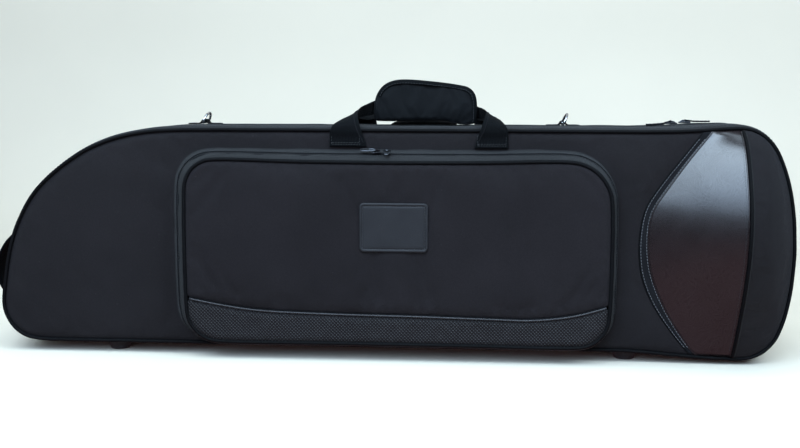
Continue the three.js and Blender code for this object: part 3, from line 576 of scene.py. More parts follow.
def noise(nt, scale, detail=3.0, rough=0.55, source="Object"):
    tc = nt.nodes.new("ShaderNodeTexCoord")
    n = nt.nodes.new("ShaderNodeTexNoise")
    n.inputs["Scale"].default_value = scale
    n.inputs["Detail"].default_value = detail
    n.inputs["Roughness"].default_value = rough
    nt.links.new(tc.outputs[source], n.inputs["Vector"])
    return n.outputs["Fac"]


def ramp(nt, fac, stops):
    r = nt.nodes.new("ShaderNodeValToRGB")
    while len(r.color_ramp.elements) < len(stops):
        r.color_ramp.elements.new(0.5)
    for e, (p, c) in zip(r.color_ramp.elements, stops):
        e.position = p
        e.color = (*c, 1) if hasattr(c, "__len__") else (c, c, c, 1)
    nt.links.new(fac, r.inputs[0])
    return r.outputs[0]


def remap(nt, v, a, b, c, d):
    n = nt.nodes.new("ShaderNodeMapRange")
    nt.links.new(v, n.inputs[0])
    for i, x in enumerate((a, b, c, d)):
        n.inputs[i + 1].default_value = x
    return n.outputs[0]


def tint(nt, base, factor):
    """base colour times a grey factor socket."""
    n = nt.nodes.new("ShaderNodeVectorMath")
    n.operation = "SCALE"
    n.inputs[0].default_value = base
    nt.links.new(factor, n.inputs["Scale"])
    return n.outputs[0]


def mix_colour(nt, fac, a, b):
    n = nt.nodes.new("ShaderNodeMix")
    n.data_type = "RGBA"
    nt.links.new(fac, n.inputs[0])
    for s, v in ((n.inputs[6], a), (n.inputs[7], b)):
        if isinstance(v, tuple):
            s.default_value = (*v, 1)
        else:
            nt.links.new(v, s)
    return n.outputs[2]


def bump(nt, bs, height, strength, dist):
    b = nt.nodes.new("ShaderNodeBump")
    b.inputs["Strength"].default_value = strength
    b.inputs["Distance"].default_value = dist
    nt.links.new(height, b.inputs["Height"])
    nt.links.new(b.outputs[0], bs.inputs["Normal"])


def plain_weave(nt, u, v, p, q=None):
    q = q or p
    su = mth(nt, "SINE", mth(nt, "MULTIPLY", u, math.pi / p))
    sv = mth(nt, "SINE", mth(nt, "MULTIPLY", v, math.pi / q))
    over = mth(nt, "GREATER_THAN", mth(nt, "MULTIPLY", su, sv), 0.0)
    au, av = mth(nt, "ABSOLUTE", su), mth(nt, "ABSOLUTE", sv)
    a = mth(nt, "MULTIPLY", au, mth(nt, "MULTIPLY_ADD", av, 0.5, 0.5))
    b = mth(nt, "MULTIPLY", av, mth(nt, "MULTIPLY_ADD", au, 0.5, 0.5))
    return mth(nt, "ADD", mth(nt, "MULTIPLY", over, a), mth(nt, "MULTIPLY", mth(nt, "SUBTRACT", 1.0, over), b)), over


def fabric(name, base, pitch=0.62, rough=0.78, sheen=0.12, depth=0.00022, strength=0.5, how="cl", contrast=0.5, specular=0.35, mottling=0.16):
    m, nt, bs = start(name)
    u, v = coords(nt, how)
    wob_u = mth(nt, "MULTIPLY_ADD", noise(nt, 320, 1.0), 0.5, u)
    wob_v = mth(nt, "MULTIPLY_ADD", noise(nt, 290, 1.0), 0.5, v)
    h, over = plain_weave(nt, wob_u, wob_v, pitch)
    yarn = noise(nt, 900, 2.0)
    fleck = noise(nt, 420, 4.0, 0.7)
    big, mid = noise(nt, 7, 3.0), noise(nt, 38, 4.0, 0.6)
    g = mth(nt, "MULTIPLY_ADD", h, contrast, 1.0 - contrast * 0.6)
    g = mth(nt, "MULTIPLY", g, mth(nt, "MULTIPLY_ADD", over, 0.10, 0.95))
    g = mth(nt, "MULTIPLY", g, remap(nt, yarn, 0.3, 0.7, 0.84, 1.16))
    g = mth(nt, "MULTIPLY", g, remap(nt, fleck, 0.35, 0.68, 0.90, 1.12))
    g = mth(nt, "MULTIPLY", g, remap(nt, big, 0.3, 0.7, 1 - mottling, 1 + mottling))
    g = mth(nt, "MULTIPLY", g, remap(nt, mid, 0.3, 0.7, 1 - mottling * 0.6, 1 + mottling * 0.6))
    col = tint(nt, base, g)
    lint = mth(nt, "MULTIPLY", mth(nt, "GREATER_THAN", noise(nt, 260, 2.0), 0.745), 0.16)
    col = mix_colour(nt, lint, col, tuple(min(1.0, b * 4.2 + 0.02) for b in base))
    nt.links.new(col, bs.inputs["Base Color"])
    nt.links.new(remap(nt, mid, 0.3, 0.7, rough - 0.05, rough + 0.07), bs.inputs["Roughness"])
    bs.inputs["Sheen Weight"].default_value = sheen
    bs.inputs["Sheen Roughness"].default_value = 0.45
    bs.inputs["Sheen Tint"].default_value = (0.82, 0.9, 1.0, 1)
    bs.inputs["Specular IOR Level"].default_value = specular
    hh = mth(nt, "ADD", h, mth(nt, "MULTIPLY", yarn, 0.5))
    bump(nt, bs, hh, strength, depth)
    return m


def webbing(name, base, how="cl", rib=1.7):
    m, nt, bs = start(name)
    u, v = coords(nt, how)
    rows = mth(nt, "ABSOLUTE", mth(nt, "SINE", mth(nt, "MULTIPLY", u, math.pi / rib)))
    side = mth(nt, "GREATER_THAN", mth(nt, "SINE", mth(nt, "MULTIPLY", u, math.pi / rib)), 0.0)
    sign = mth(nt, "MULTIPLY_ADD", side, 2.0, -1.0)
    slant = mth(nt, "ADD", v, mth(nt, "MULTIPLY", mth(nt, "MULTIPLY", u, sign), 0.9))
    picks = mth(nt, "ABSOLUTE", mth(nt, "SINE", mth(nt, "MULTIPLY", slant, math.pi / 1.15)))
    h = mth(nt, "ADD", mth(nt, "MULTIPLY", rows, 0.55), mth(nt, "MULTIPLY", picks, 0.45))
    fuzz, big = noise(nt, 700, 3.0), noise(nt, 22, 3.0)
    g = mth(nt, "MULTIPLY", mth(nt, "MULTIPLY_ADD", h, 0.8, 0.5), remap(nt, fuzz, 0.3, 0.7, 0.8, 1.2))
    g = mth(nt, "MULTIPLY", g, remap(nt, big, 0.3, 0.7, 0.85, 1.15))
    nt.links.new(tint(nt, base, g), bs.inputs["Base Color"])
    nt.links.new(remap(nt, fuzz, 0.3, 0.7, 0.62, 0.8), bs.inputs["Roughness"])
    bs.inputs["Sheen Weight"].default_value = 0.01
    bs.inputs["Sheen Roughness"].default_value = 0.4
    bs.inputs["Specular IOR Level"].default_value = 0.07
    bump(nt, bs, h, 0.8, 0.0005)
    return m


def ribbed_mesh(name, base):
    m, nt, bs = start(name)
    u, v = coords(nt, "cl")
    a = mth(nt, "MULTIPLY", mth(nt, "ADD", u, v), 0.7071)
    b = mth(nt, "MULTIPLY", mth(nt, "SUBTRACT", u, v), 0.7071)
    ra = mth(nt, "SINE", mth(nt, "MULTIPLY", a, 2 * math.pi / 2.8))
    rb = mth(nt, "SINE", mth(nt, "MULTIPLY", b, 2 * math.pi / 2.8))
    hole = mth(nt, "MULTIPLY", mth(nt, "MULTIPLY_ADD", ra, 0.5, 0.5), mth(nt, "MULTIPLY_ADD", rb, 0.5, 0.5))
    rib = mth(nt, "MULTIPLY_ADD", ra, 0.5, 0.5)
    h = mth(nt, "SUBTRACT", mth(nt, "MULTIPLY_ADD", rib, 0.7, 0.3), mth(nt, "MULTIPLY", hole, 0.55))
    fuzz, big = noise(nt, 600, 3.0), noise(nt, 16, 3.0)
    # colour follows the height h: darkest in the holes and grooves between the ribs, painted shade
    g = mth(nt, "MULTIPLY", mth(nt, "MULTIPLY_ADD", mth(nt, "MULTIPLY", h, h), 3.2, 0.04), remap(nt, fuzz, 0.3, 0.7, 0.85, 1.15))
    g = mth(nt, "MULTIPLY", g, remap(nt, big, 0.3, 0.7, 0.85, 1.15))
    nt.links.new(tint(nt, base, g), bs.inputs["Base Color"])
    nt.links.new(remap(nt, h, 0.0, 1.0, 0.8, 0.4), bs.inputs["Roughness"])
    bs.inputs["Sheen Weight"].default_value = 0.02
    bs.inputs["Specular IOR Level"].default_value = 0.3
    bump(nt, bs, h, 1.0, 0.0011)
    return m


def leather(name, base, rough=0.3, grain=1.25, strength=0.3, coat=0.0, how="cl", specular=0.5, cloud=1.0):
    m, nt, bs = start(name)
    tc = nt.nodes.new("ShaderNodeTexCoord")
    vo = nt.nodes.new("ShaderNodeTexVoronoi")
    vo.feature = "DISTANCE_TO_EDGE"
    vo.inputs["Scale"].default_value = 1000.0 / grain
    nt.links.new(tc.outputs["Object"], vo.inputs["Vector"])
    cell = remap(nt, vo.outputs["Distance"], 0.0, 0.28, 0.0, 1.0)
    fine, mid, big = noise(nt, 1500, 3.0), noise(nt, 55, 4.0), noise(nt, 8, 3.0)
    g = mth(nt, "MULTIPLY", remap(nt, mid, 0.3, 0.7, 0.9, 1.1), remap(nt, big, 0.3, 0.7, 0.88, 1.12))
    g = mth(nt, "MULTIPLY", g, mth(nt, "MULTIPLY_ADD", cell, 0.22, 0.84))
    nt.links.new(tint(nt, base, g), bs.inputs["Base Color"])
    r = mth(nt, "ADD", remap(nt, mid, 0.3, 0.7, rough - 0.05 * cloud, rough + 0.06 * cloud), remap(nt, cell, 0.0, 1.0, 0.09, 0.0))
    nt.links.new(r, bs.inputs["Roughness"])
    bs.inputs["Coat Weight"].default_value = coat
    bs.inputs["Coat Roughness"].default_value = 0.2
    bs.inputs["Specular IOR Level"].default_value = specular
    h = mth(nt, "ADD", cell, mth(nt, "MULTIPLY", fine, 0.35))
    bump(nt, bs, h, strength, 0.00018)
    return m


def metal(name, base, rough=0.16):
    m, nt, bs = start(name)
    bs.inputs["Metallic"].default_value = 1.0
    mid, fine = noise(nt, 120, 4.0), noise(nt, 900, 2.0)
    nt.links.new(tint(nt, base, remap(nt, mid, 0.3, 0.7, 0.86, 1.08)), bs.inputs["Base Color"])
    nt.links.new(mth(nt, "ADD", remap(nt, mid, 0.35, 0.7, rough - 0.05, rough + 0.12), remap(nt, fine, 0.3, 0.7, 0.0, 0.06)), bs.inputs["Roughness"])
    bump(nt, bs, fine, 0.12, 0.00005)
    return m


def moulded(name, base, rough=0.6, grain=2200, strength=0.35):
    m, nt, bs = start(name)
    fine, mid = noise(nt, grain, 3.0), noise(nt, 45, 4.0)
    nt.links.new(tint(nt, base, mth(nt, "MULTIPLY", remap(nt, mid, 0.3, 0.7, 0.85, 1.15), remap(nt, fine, 0.3, 0.7, 0.92, 1.08))), bs.inputs["Base Color"])
    nt.links.new(remap(nt, mid, 0.3, 0.7, rough - 0.06, rough + 0.1), bs.inputs["Roughness"])
    bs.inputs["Specular IOR Level"].default_value = 0.4
    bump(nt, bs, fine, strength, 0.00015)
    return m


def plush(name, base):
    m, nt, bs = start(name)
    pile, tuft, big, mid = noise(nt, 1100, 3.0, 0.7), noise(nt, 330, 4.0, 0.7), noise(nt, 12, 3.0), noise(nt, 60, 3.0)
    g = mth(nt, "MULTIPLY", remap(nt, pile, 0.3, 0.7, 0.65, 1.35), remap(nt, big, 0.3, 0.7, 0.8, 1.2))
    g = mth(nt, "MULTIPLY", g, remap(nt, mid, 0.3, 0.7, 0.86, 1.14))
    g = mth(nt, "MULTIPLY", g, remap(nt, tuft, 0.3, 0.7, 0.8, 1.2))
    nt.links.new(tint(nt, base, g), bs.inputs["Base Color"])
    nt.links.new(remap(nt, tuft, 0.3, 0.7, 0.86, 0.98), bs.inputs["Roughness"])
    bs.inputs["Sheen Weight"].default_value = 0.55
    bs.inputs["Sheen Roughness"].default_value = 0.35
    bs.inputs["Sheen Tint"].default_value = (0.8, 0.86, 1.0, 1)
    bs.inputs["Specular IOR Level"].default_value = 0.2
    bump(nt, bs, mth(nt, "ADD", pile, tuft), 0.9, 0.0007)
    return m


NYLON = fabric("nylon_weave", (0.0088, 0.0080, 0.0092), sheen=0.03, specular=0.1)
NYLON_PAD = fabric("nylon_pocket", (0.0096, 0.0085, 0.0100), sheen=0.03, specular=0.1)
GUSSET = fabric("nylon_gusset", (0.0165, 0.0172, 0.0180), sheen=0.03, specular=0.1)
GRIP_CLOTH = fabric("nylon_grip", (0.0034, 0.0043, 0.0053), sheen=0.03, rough=0.76, specular=0.1)
CORD = fabric("piping_cloth", (0.0022, 0.0024, 0.0030), pitch=0.45, rough=0.6, sheen=0.0, specular=0.08)
# a paler copy of the cord cloth: painted highlight for the light lines along the pocket's seam and lower edge
SEAM_CORD_PAINTED_HIGHLIGHT = fabric("seam_cord", (0.021, 0.022, 0.025), pitch=0.45, rough=0.45, sheen=0.05, specular=0.5)
BINDING = webbing("binding_tape", (0.0070, 0.0074, 0.0090), rib=1.1)
TAPE = webbing("zip_tape", (0.0050, 0.0055, 0.0066), rib=1.0)
WEB = webbing("strap_webbing", (0.0012, 0.0018, 0.0024))
MESHED = ribbed_mesh("ribbed_trim", (0.0052, 0.0048, 0.0056))
VINYL = leather("flare_vinyl", (0.0085, 0.0055, 0.0062), rough=0.23, strength=0.07, specular=0.66, cloud=0.25)
PATCH = leather("patch_vinyl", (0.0120, 0.0130, 0.0155), rough=0.5, grain=1.1, strength=0.3, specular=0.25)
THREAD = fabric("thread", (0.028, 0.030, 0.034), pitch=0.4, rough=0.5, sheen=0.1, specular=0.4)
THREAD_LIGHT = fabric("thread_light", (0.11, 0.115, 0.125), pitch=0.4, rough=0.5, sheen=0.1, specular=0.4)
THREAD_DARK = fabric("thread_dark", (0.012, 0.013, 0.016), pitch=0.4, rough=0.5, sheen=0.1, specular=0.5)
CHROME = metal("plated_steel", (0.55, 0.56, 0.58), rough=0.2)
DARK_METAL = metal("dark_plating", (0.055, 0.058, 0.065), rough=0.3)
COIL = moulded("zip_coil", (0.012, 0.013, 0.015), rough=0.42)
RUBBER = moulded("foot_rubber", (0.012, 0.012, 0.013), rough=0.72)
BOARD = moulded("shell_board", (0.018, 0.018, 0.02), rough=0.7)
PLUSH = plush("plush_lining", (0.016, 0.0185, 0.027))
FOAM_PLUSH = plush("foam_plush", (0.014, 0.016, 0.023))
LOOP = plush("touch_tape", (0.007, 0.0075, 0.0085))


# ------------------------------------------------------------------ camera, light, floor


def camera():
    yaw, pitch, roll = math.radians(3.8), math.atan(114 / 950), math.radians(0.22)
    fh = Vector((-math.sin(yaw), math.cos(yaw), 0))
    r0, z = Vector((math.cos(yaw), math.sin(yaw), 0)), Vector((0, 0, 1))
    fwd = fh * math.cos(pitch) - z * math.sin(pitch)
    up0 = fh * math.sin(pitch) + z * math.cos(pitch)
    right = r0 * math.cos(roll) + up0 * math.sin(roll)
    up = up0 * math.cos(roll) - r0 * math.sin(roll)
    cam = bpy.data.cameras.new("camera")
    cam.lens, cam.sensor_width, cam.clip_start, cam.clip_end = 42.75, 36.0, 0.05, 30
    o = bpy.data.objects.new("camera", cam)
    bpy.context.scene.collection.objects.link(o)
    m = Matrix.Identity(4)
    for j, v in enumerate((right, up, -fwd)):
        for i in range(3):
            m[i][j] = v[i]
    m.translation = Vector((0.0994, -1.15812, 0.290))
    o.matrix_world = m
    bpy.context.scene.camera = o


def area_light(name, where, target, size, power, colour, roll=0.0):
    li = bpy.data.lights.new(name, "AREA")
    li.shape = "RECTANGLE"
    li.size, li.size_y = size
    li.energy = power
    li.color = colour
    o = bpy.data.objects.new(name, li)
    o.location = where
    d = Vector(target) - Vector(where)
    q = d.to_track_quat("-Z", "Y")
    o.rotation_euler = (q @ Quaternion((0, 0, 1), math.radians(roll))).to_euler()
    o.visible_camera = False
    bpy.context.scene.collection.objects.link(o)
    return o


def stage():
    # floor and wall in one sweep
    pts = [(-7.0, 0.0), (0.75, 0.0)]
    for k in range(1, 13):
        a = k / 12 * math.pi / 2
        pts.append((0.75 + 0.5 * math.sin(a), 0.5 - 0.5 * math.cos(a)))
    pts.append((1.25, 3.4))
    V, F = [], []
    for x in (-6.5, 6.5):
        V += [(x, y, z) for y, z in pts]
    n = len(pts)
    for i in range(n - 1):
        F.append((i, i + 1, n + i + 1, n + i))
    me = bpy.data.meshes.new("floor")
    me.from_pydata(V, [], F)
    me.shade_smooth()
    o = bpy.data.objects.new("floor", me)
    bpy.context.scene.collection.objects.link(o)
    m, nt, bs = start("floor_paper")
    n1 = noise(nt, 3.0, 2.0)
    nt.links.new(tint(nt, (0.600, 0.560, 0.470), remap(nt, n1, 0.3, 0.7, 0.985, 1.015)), bs.inputs["Base Color"])
    bs.inputs["Roughness"].default_value = 0.9
    # the sweep is seen from its inside only, so that the back can be looked at as well
    side = nt.nodes.new("ShaderNodeNewGeometry")
    clear = nt.nodes.new("ShaderNodeBsdfTransparent")
    mix = nt.nodes.new("ShaderNodeMixShader")
    out = next(k for k in nt.nodes if k.type == "OUTPUT_MATERIAL")
    nt.links.new(side.outputs["Backfacing"], mix.inputs[0])
    nt.links.new(bs.outputs[0], mix.inputs[1])
    nt.links.new(clear.outputs[0], mix.inputs[2])
    nt.links.new(mix.outputs[0], out.inputs["Surface"])
    me.materials.append(m)
    if me.polygons[0].normal.z < 0:
        me.flip_normals()
    o.visible_glossy = False
    w = bpy.data.worlds.new("soft_room")
    bpy.context.scene.world = w
    w.use_nodes = True
    nt = w.node_tree
    sky = nt.nodes["Background"]
    sky.inputs[1].default_value = 1.0
    # dim and cool above, a warm dark room below the horizon
    tc = nt.nodes.new("ShaderNodeTexCoord")
    xyz = nt.nodes.new("ShaderNodeSeparateXYZ")
    nt.links.new(tc.outputs["Generated"], xyz.inputs[0])
    r = nt.nodes.new("ShaderNodeValToRGB")
    rows = [(0.0, (0.30, 0.17, 0.19)), (0.28, (0.38, 0.22, 0.245)), (0.41, (0.10, 0.078, 0.09)), (0.52, (0.075, 0.085, 0.095)), (1.0, (0.09, 0.097, 0.10))]
    while len(r.color_ramp.elements) < len(rows):
        r.color_ramp.elements.new(0.5)
    for e, (p, c) in zip(r.color_ramp.elements, rows):
        e.position, e.color = p, (*c, 1)
    m2 = nt.nodes.new("ShaderNodeMath")
    m2.operation = "MULTIPLY_ADD"
    nt.links.new(xyz.outputs[2], m2.inputs[0])
    m2.inputs[1].default_value, m2.inputs[2].default_value = 0.5, 0.5
    nt.links.new(m2.outputs[0], r.inputs[0])
    nt.links.new(r.outputs[0], sky.inputs[0])
    # what the eye sees past the sweep is pale, like the sweep
    pale = nt.nodes.new("ShaderNodeBackground")
    pale.inputs[0].default_value = (0.66, 0.71, 0.72, 1)
    rays = nt.nodes.new("ShaderNodeLightPath")
    mix = nt.nodes.new("ShaderNodeMixShader")
    nt.links.new(rays.outputs["Is Camera Ray"], mix.inputs[0])
    nt.links.new(sky.outputs[0], mix.inputs[1])
    nt.links.new(pale.outputs[0], mix.inputs[2])
    out = next(k for k in nt.nodes if k.type == "OUTPUT_WORLD")
    nt.links.new(mix.outputs[0], out.inputs["Surface"])
    bpy.context.scene.view_settings.view_transform = "Standard"
    # a cool window at the left front: its reflection makes the bright top of the smooth cover
    area_light("left_window", (-0.50, -1.96, 1.67), (0.37, -0.09, 0.17), (2.0, 2.2), 107, (0.57, 0.76, 1.0), 36)
    # a long strip above the front face: brighter at the top, falling off downwards
    area_light("overhead", (-0.05, -0.35, 0.66), (0.0, -0.02, 0.16), (2.3, 0.20), 8.0, (0.74, 0.90, 1.0))
    area_light("top_soft", (0.15, -0.09, 1.9), (0.15, -0.085, 0.1), (2.5, 0.42), 13, (0.66, 0.84, 1.0))
    area_light("low_bounce", (0.1, -1.5, 0.12), (0.1, 0, 0.10), (3.0, 0.5), 5.0, (1.0, 0.50, 0.60)).visible_glossy = False
    area_light("right_sky", (1.7, -1.0, 1.7), (0.44, -0.08, 0.2), (1.2, 1.2), 34, (0.62, 0.80, 1.0))
    area_light("back_fill", (0.25, 1.02, 1.35), (0, 0.12, 0.12), (2.2, 0.5), 4.5, (0.95, 1.0, 1.0))
    area_light("wall", (0.0, -0.1, 3.0), (0.0, 1.25, 0.7), (4.5, 0.6), 32, (1.0, 0.99, 0.90)).visible_glossy = False


# ------------------------------------------------------------------ the outer covers


def wavy_band(name, section, body, mat, idx=None, thick=1.1, amp=0.3, wave=70, seed=1, hold=None, step=1, more=None):
    """band() with slight waves in the cloth; hold(y) scales them."""
    k = np.arange(0, NO, step) if idx is None else np.asarray(idx)[::step]
    s = OS[k]
    rows = []
    t = length_along(np.array(section, float))
    for (o, y), tt in zip(section, t):
        a = amp * wob(s, np.full(len(s), tt), wave, seed) * (1 if hold is None else hold(y))
        if more is not None:
            a = a + more(s, tt / t[-1])
        if idx is None:
            e = np.minimum(1, np.minimum(np.arange(len(k)), len(k) - np.arange(len(k))) * step / 12)
            a = a * e
        rows.append(rim(o + a, y, k))
    V = np.stack(rows, 1)
    n, m = V.shape[:2]
    cl = np.stack([np.broadcast_to(s[:, None], (n, m)), np.broadcast_to(t[None], (n, m))], -1)
    o = put(name, V.reshape(-1, 3), [quads(n, m, idx is None, False)], body, mat, cl.reshape(-1, 2), 0, "round")
    if thick:
        thicken(o, thick)
    return o, float(np.linalg.norm(np.diff(V[:, m // 2], axis=0), axis=1).sum()), float(t[-1])


def mirrored(y):
    return FRONT_Y + REAR_Y - y


def covers():
    Z0, Z1 = nearest(439, 22.4), nearest(-443.8, 22.3)
    zip_run = np.arange(Z0, Z1 + 1)
    low_run = np.concatenate([np.arange(Z1, NO), np.arange(0, Z0 + 1)])
    sec = smooth_section([(0.3, -72.7), (1.5, -71.3), (3.0, -69.2), (4.0, -66), (4.45, -60), (4.6, -45), (4.7, -25), (4.5, -6),
                          (4.3, 3), (4.35, 7.0), (4.9, 8.2), (5.1, 9.1), (4.8, 9.8), (4.2, 10.0)], 34)
    for half, body, flip in (("front", "front_half", lambda y: y), ("rear", "rear_half", mirrored)):
        base = sec
        if half == "rear":
            # the rear gusset is a little deeper: stretch the section between its two ends
            ys = np.array([y for _, y in sec])
            f = (ys - ys[0]) / (ys[-1] - ys[0])
            far, near = mirrored(sec[0][1]), 2 * PART_Y - sec[-1][1]
            base = [(o, far + (near - far) * t) for (o, _), t in zip(sec, f)]
        hold = (lambda y: min(1.0, max(0.0, (y + 71) / 14)) * (0.3 if y > 4 else 1)) if half == "front" else (lambda y: min(1.0, max(0.0, (108 - y) / 14)) * (0.3 if y < 26 else 1))
        s_end = OS[nearest(-463, 60)]
        more = None if half == "front" else (lambda s, f: 2.6 * np.exp(-((s - s_end) / 110) ** 2) * math.sin(math.pi * min(1, max(0, f))) ** 0.6)
        o, l, w = wavy_band(half + "_gusset_cloth", base, body, GUSSET, amp=0.38, wave=85, seed=3 if half == "front" else 4, hold=hold, more=more)
        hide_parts(half + "_gusset")
        sheet(o, w, l)
        # piping with its sewn flange
        yc = FRONT_Y if half == "front" else REAR_Y
        sgn = 1 if half == "front" else -1
        path = rim(0.08 * wob(OS, OS * 0, 40, 8) * np.minimum(1, np.minimum(OS, OS[-1] - OS) / 30), yc)
        p = tube(half + "_piping_cord", path, 2.0, body, CORD, closed=True, sides=14)
        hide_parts(half + "_piping")
        y_s = (-68.6, 6.4) if half == "front" else (mirrored(-68.6), 23.6)
        rows = []
        for yy, off in zip(y_s, (3.35, 4.55)):
            line = rim(off + 0.25, yy)
            rows.append((np.concatenate([line, line[:1]]), np.stack([ON[:, 0], ON[:, 0] * 0, ON[:, 1]], 1)[np.r_[0:NO, 0]]))
        stitches(half + "_gusset_stitching", rows, body, THREAD_DARK, long=2.9, gap=1.3, r=0.3)
    # the zip: a woven tape and a coil on each half
    for half, body, sg in (("front", "front_half", 1), ("rear", "rear_half", -1)):
        fy = (lambda y: y) if sg == 1 else (lambda y: 2 * PART_Y - y)
        tape = [(3.5, 7.2), (3.7, 9.0), (4.1, 10.4), (4.35, 11.4), (4.45, 12.4), (4.45, 13.4), (4.4, 13.9)]
        o = band(half + "_zip_tape_cloth", [(a, fy(y)) for a, y in smooth_section(tape, 9)], body, TAPE, idx=zip_run, thick=0.7)
        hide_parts("main_zip_tape_" + half)
        L = OS[Z1] - OS[Z0]
        sheet(o, 6.9, L)
        n = int(L / 2.15)
        shift = 0.0 if sg == 1 else 0.5
        pos = (np.arange(n) + 0.25 + shift) / n * L + OS[Z0]
        ii = np.interp(pos, OS, np.arange(NO))
        lo = np.floor(ii).astype(int) % NO
        fr = (ii - np.floor(ii))[:, None]
        P2 = OUT[lo] * (1 - fr) + OUT[(lo + 1) % NO] * fr
        N2 = ON[lo] * (1 - fr) + ON[(lo + 1) % NO] * fr
        yc = PART_Y - sg * 0.75
        lift = np.where(P2[:, 1] < BOTTOM_Z, (BOTTOM_Z - P2[:, 1]), 0)
        mid = np.stack([P2[:, 0] + N2[:, 0] * 5.0, np.full(n, yc), P2[:, 1] + N2[:, 1] * 5.0 + lift], 1)
        V, P, cl = capsules(mid, (0, 1, 0), np.stack([N2[:, 0], N2[:, 0] * 0, N2[:, 1]], 1), 1.55, 0.62, 1.1)
        c = put(half + "_zip_coil", V, P, body, COIL, cl, closed=True)
        rows = []
        line = rim(4.75, fy(11.0), zip_run)
        rows.append((line, np.stack([ON[zip_run, 0], ON[zip_run, 0] * 0, ON[zip_run, 1]], 1)))
        stitches(half + "_zip_stitching", rows, body, THREAD_DARK, long=2.4, gap=1.2, r=0.24)
    # fabric hinge along the bottom
    sec = smooth_section([(3.6, 6.6), (4.1, 9.4), (4.5, 12.0), (4.75, 15.0), (4.5, 18.0), (4.1, 20.6), (3.6, 23.4)], 19)
    o = band("hinge_cloth", sec, None, TAPE, idx=low_run, thick=0.9, s=np.arange(len(low_run)) * 2.2)
    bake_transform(o)
    L = float(np.linalg.norm(np.diff(rim(4.0, 15.0, low_run), axis=0), axis=1).sum())
    sheet(o, 17.2, L)


def fold_in(d, edge, full, reach):
    """Depth of a cover that rolls over at its edge."""
    return edge + (full - edge) * (1 - np.exp(-d / reach))


def front_face():
    E = OUT + ON * -1.2
    keep = E[:, 0] < strip(E[:, 1]) + 3.0
    run = clip_run(E, keep)
    zs = walk(run[-1][1], run[0][1], 4.0)
    B = np.concatenate([run, np.stack([strip(zs) + 3.0, zs], 1)])
    P, T = flat_mesh(B, 6.0)
    d = edge_distance(P[:, 0], P[:, 1], E)
    base = spaced(np.array(POCKET_BASE), 300, True)
    dp = edge_distance(P[:, 0], P[:, 1], base)
    inp = in_polygon(P[:, 0], P[:, 1], base)
    crown = np.where(inp, 0, 1 - np.exp(-np.maximum(0, dp - 3) / 30)) * (1 - np.exp(-d / 22))
    ds = np.clip((strip(P[:, 1]) - P[:, 0]) / 12, 0, 1)
    y = -(fold_in(d, 73.2, 75.35, 3.2) + 1.9 * crown * ds + 0.22 * (wob(P[:, 0], P[:, 1], 120, 21) - 0.4) * np.where(inp, 0, 1) * (1 - np.exp(-d / 10)))
    o = put("front_panel_cover", np.stack([P[:, 0], y, P[:, 1]], 1), [T], "front_half", NYLON, P, 0, (0, -1, 0))
    inflate(o, (d < 2.5) | inp | (dp < 3) | (ds < 0.5), pressure=2.2, grow=0.006, cap=1.6, frames=14)
    V = coords_of(o)
    # flat where the pocket is sewn on, so that its edge meets the cloth in one clean line
    flat = np.where(inp, 1, 1 - np.clip((dp - 7) / 8, 0, 1)) * np.clip((d - 4) / 6, 0, 1)
    V[:, 1] = np.maximum(V[:, 1] * (1 - flat) - 75.55 * flat, -75.6 - np.where(inp, 0, 0.25 * np.maximum(0, dp - 7)))
    move_to(o, V)
    thicken(o, 1.1)
    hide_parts("front_panel")
    # rear cover
    E = OUT + ON * -1.2
    P, T = flat_mesh(E, 7.0)
    d = edge_distance(P[:, 0], P[:, 1], E)
    y = fold_in(d, 110.2, 112.4, 3.2) + 2.6 * (1 - np.exp(-d / 45)) + 0.35 * wob(P[:, 0], P[:, 1], 150, 31) * (1 - np.exp(-d / 20))
    o = put("rear_panel_cover", np.stack([P[:, 0], y, P[:, 1]], 1), [T], "rear_half", NYLON, P, 0, (0, 1, 0))
    inflate(o, d < 2.5, pressure=2.2, grow=0.006, cap=1.8, frames=14)
    V = coords_of(o)
    # the stitching draws the padding down round the two ends of the strap
    for xc in (-48.3, 118.7):
        away = np.hypot(np.maximum(0, np.abs(V[:, 0] - xc) - 18.5), np.maximum(0, 241.5 - V[:, 2]))
        V[:, 1] = np.minimum(V[:, 1], 112.8 + 0.2 * away)
    move_to(o, V)
    thicken(o, 1.1)
    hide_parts("rear_panel")


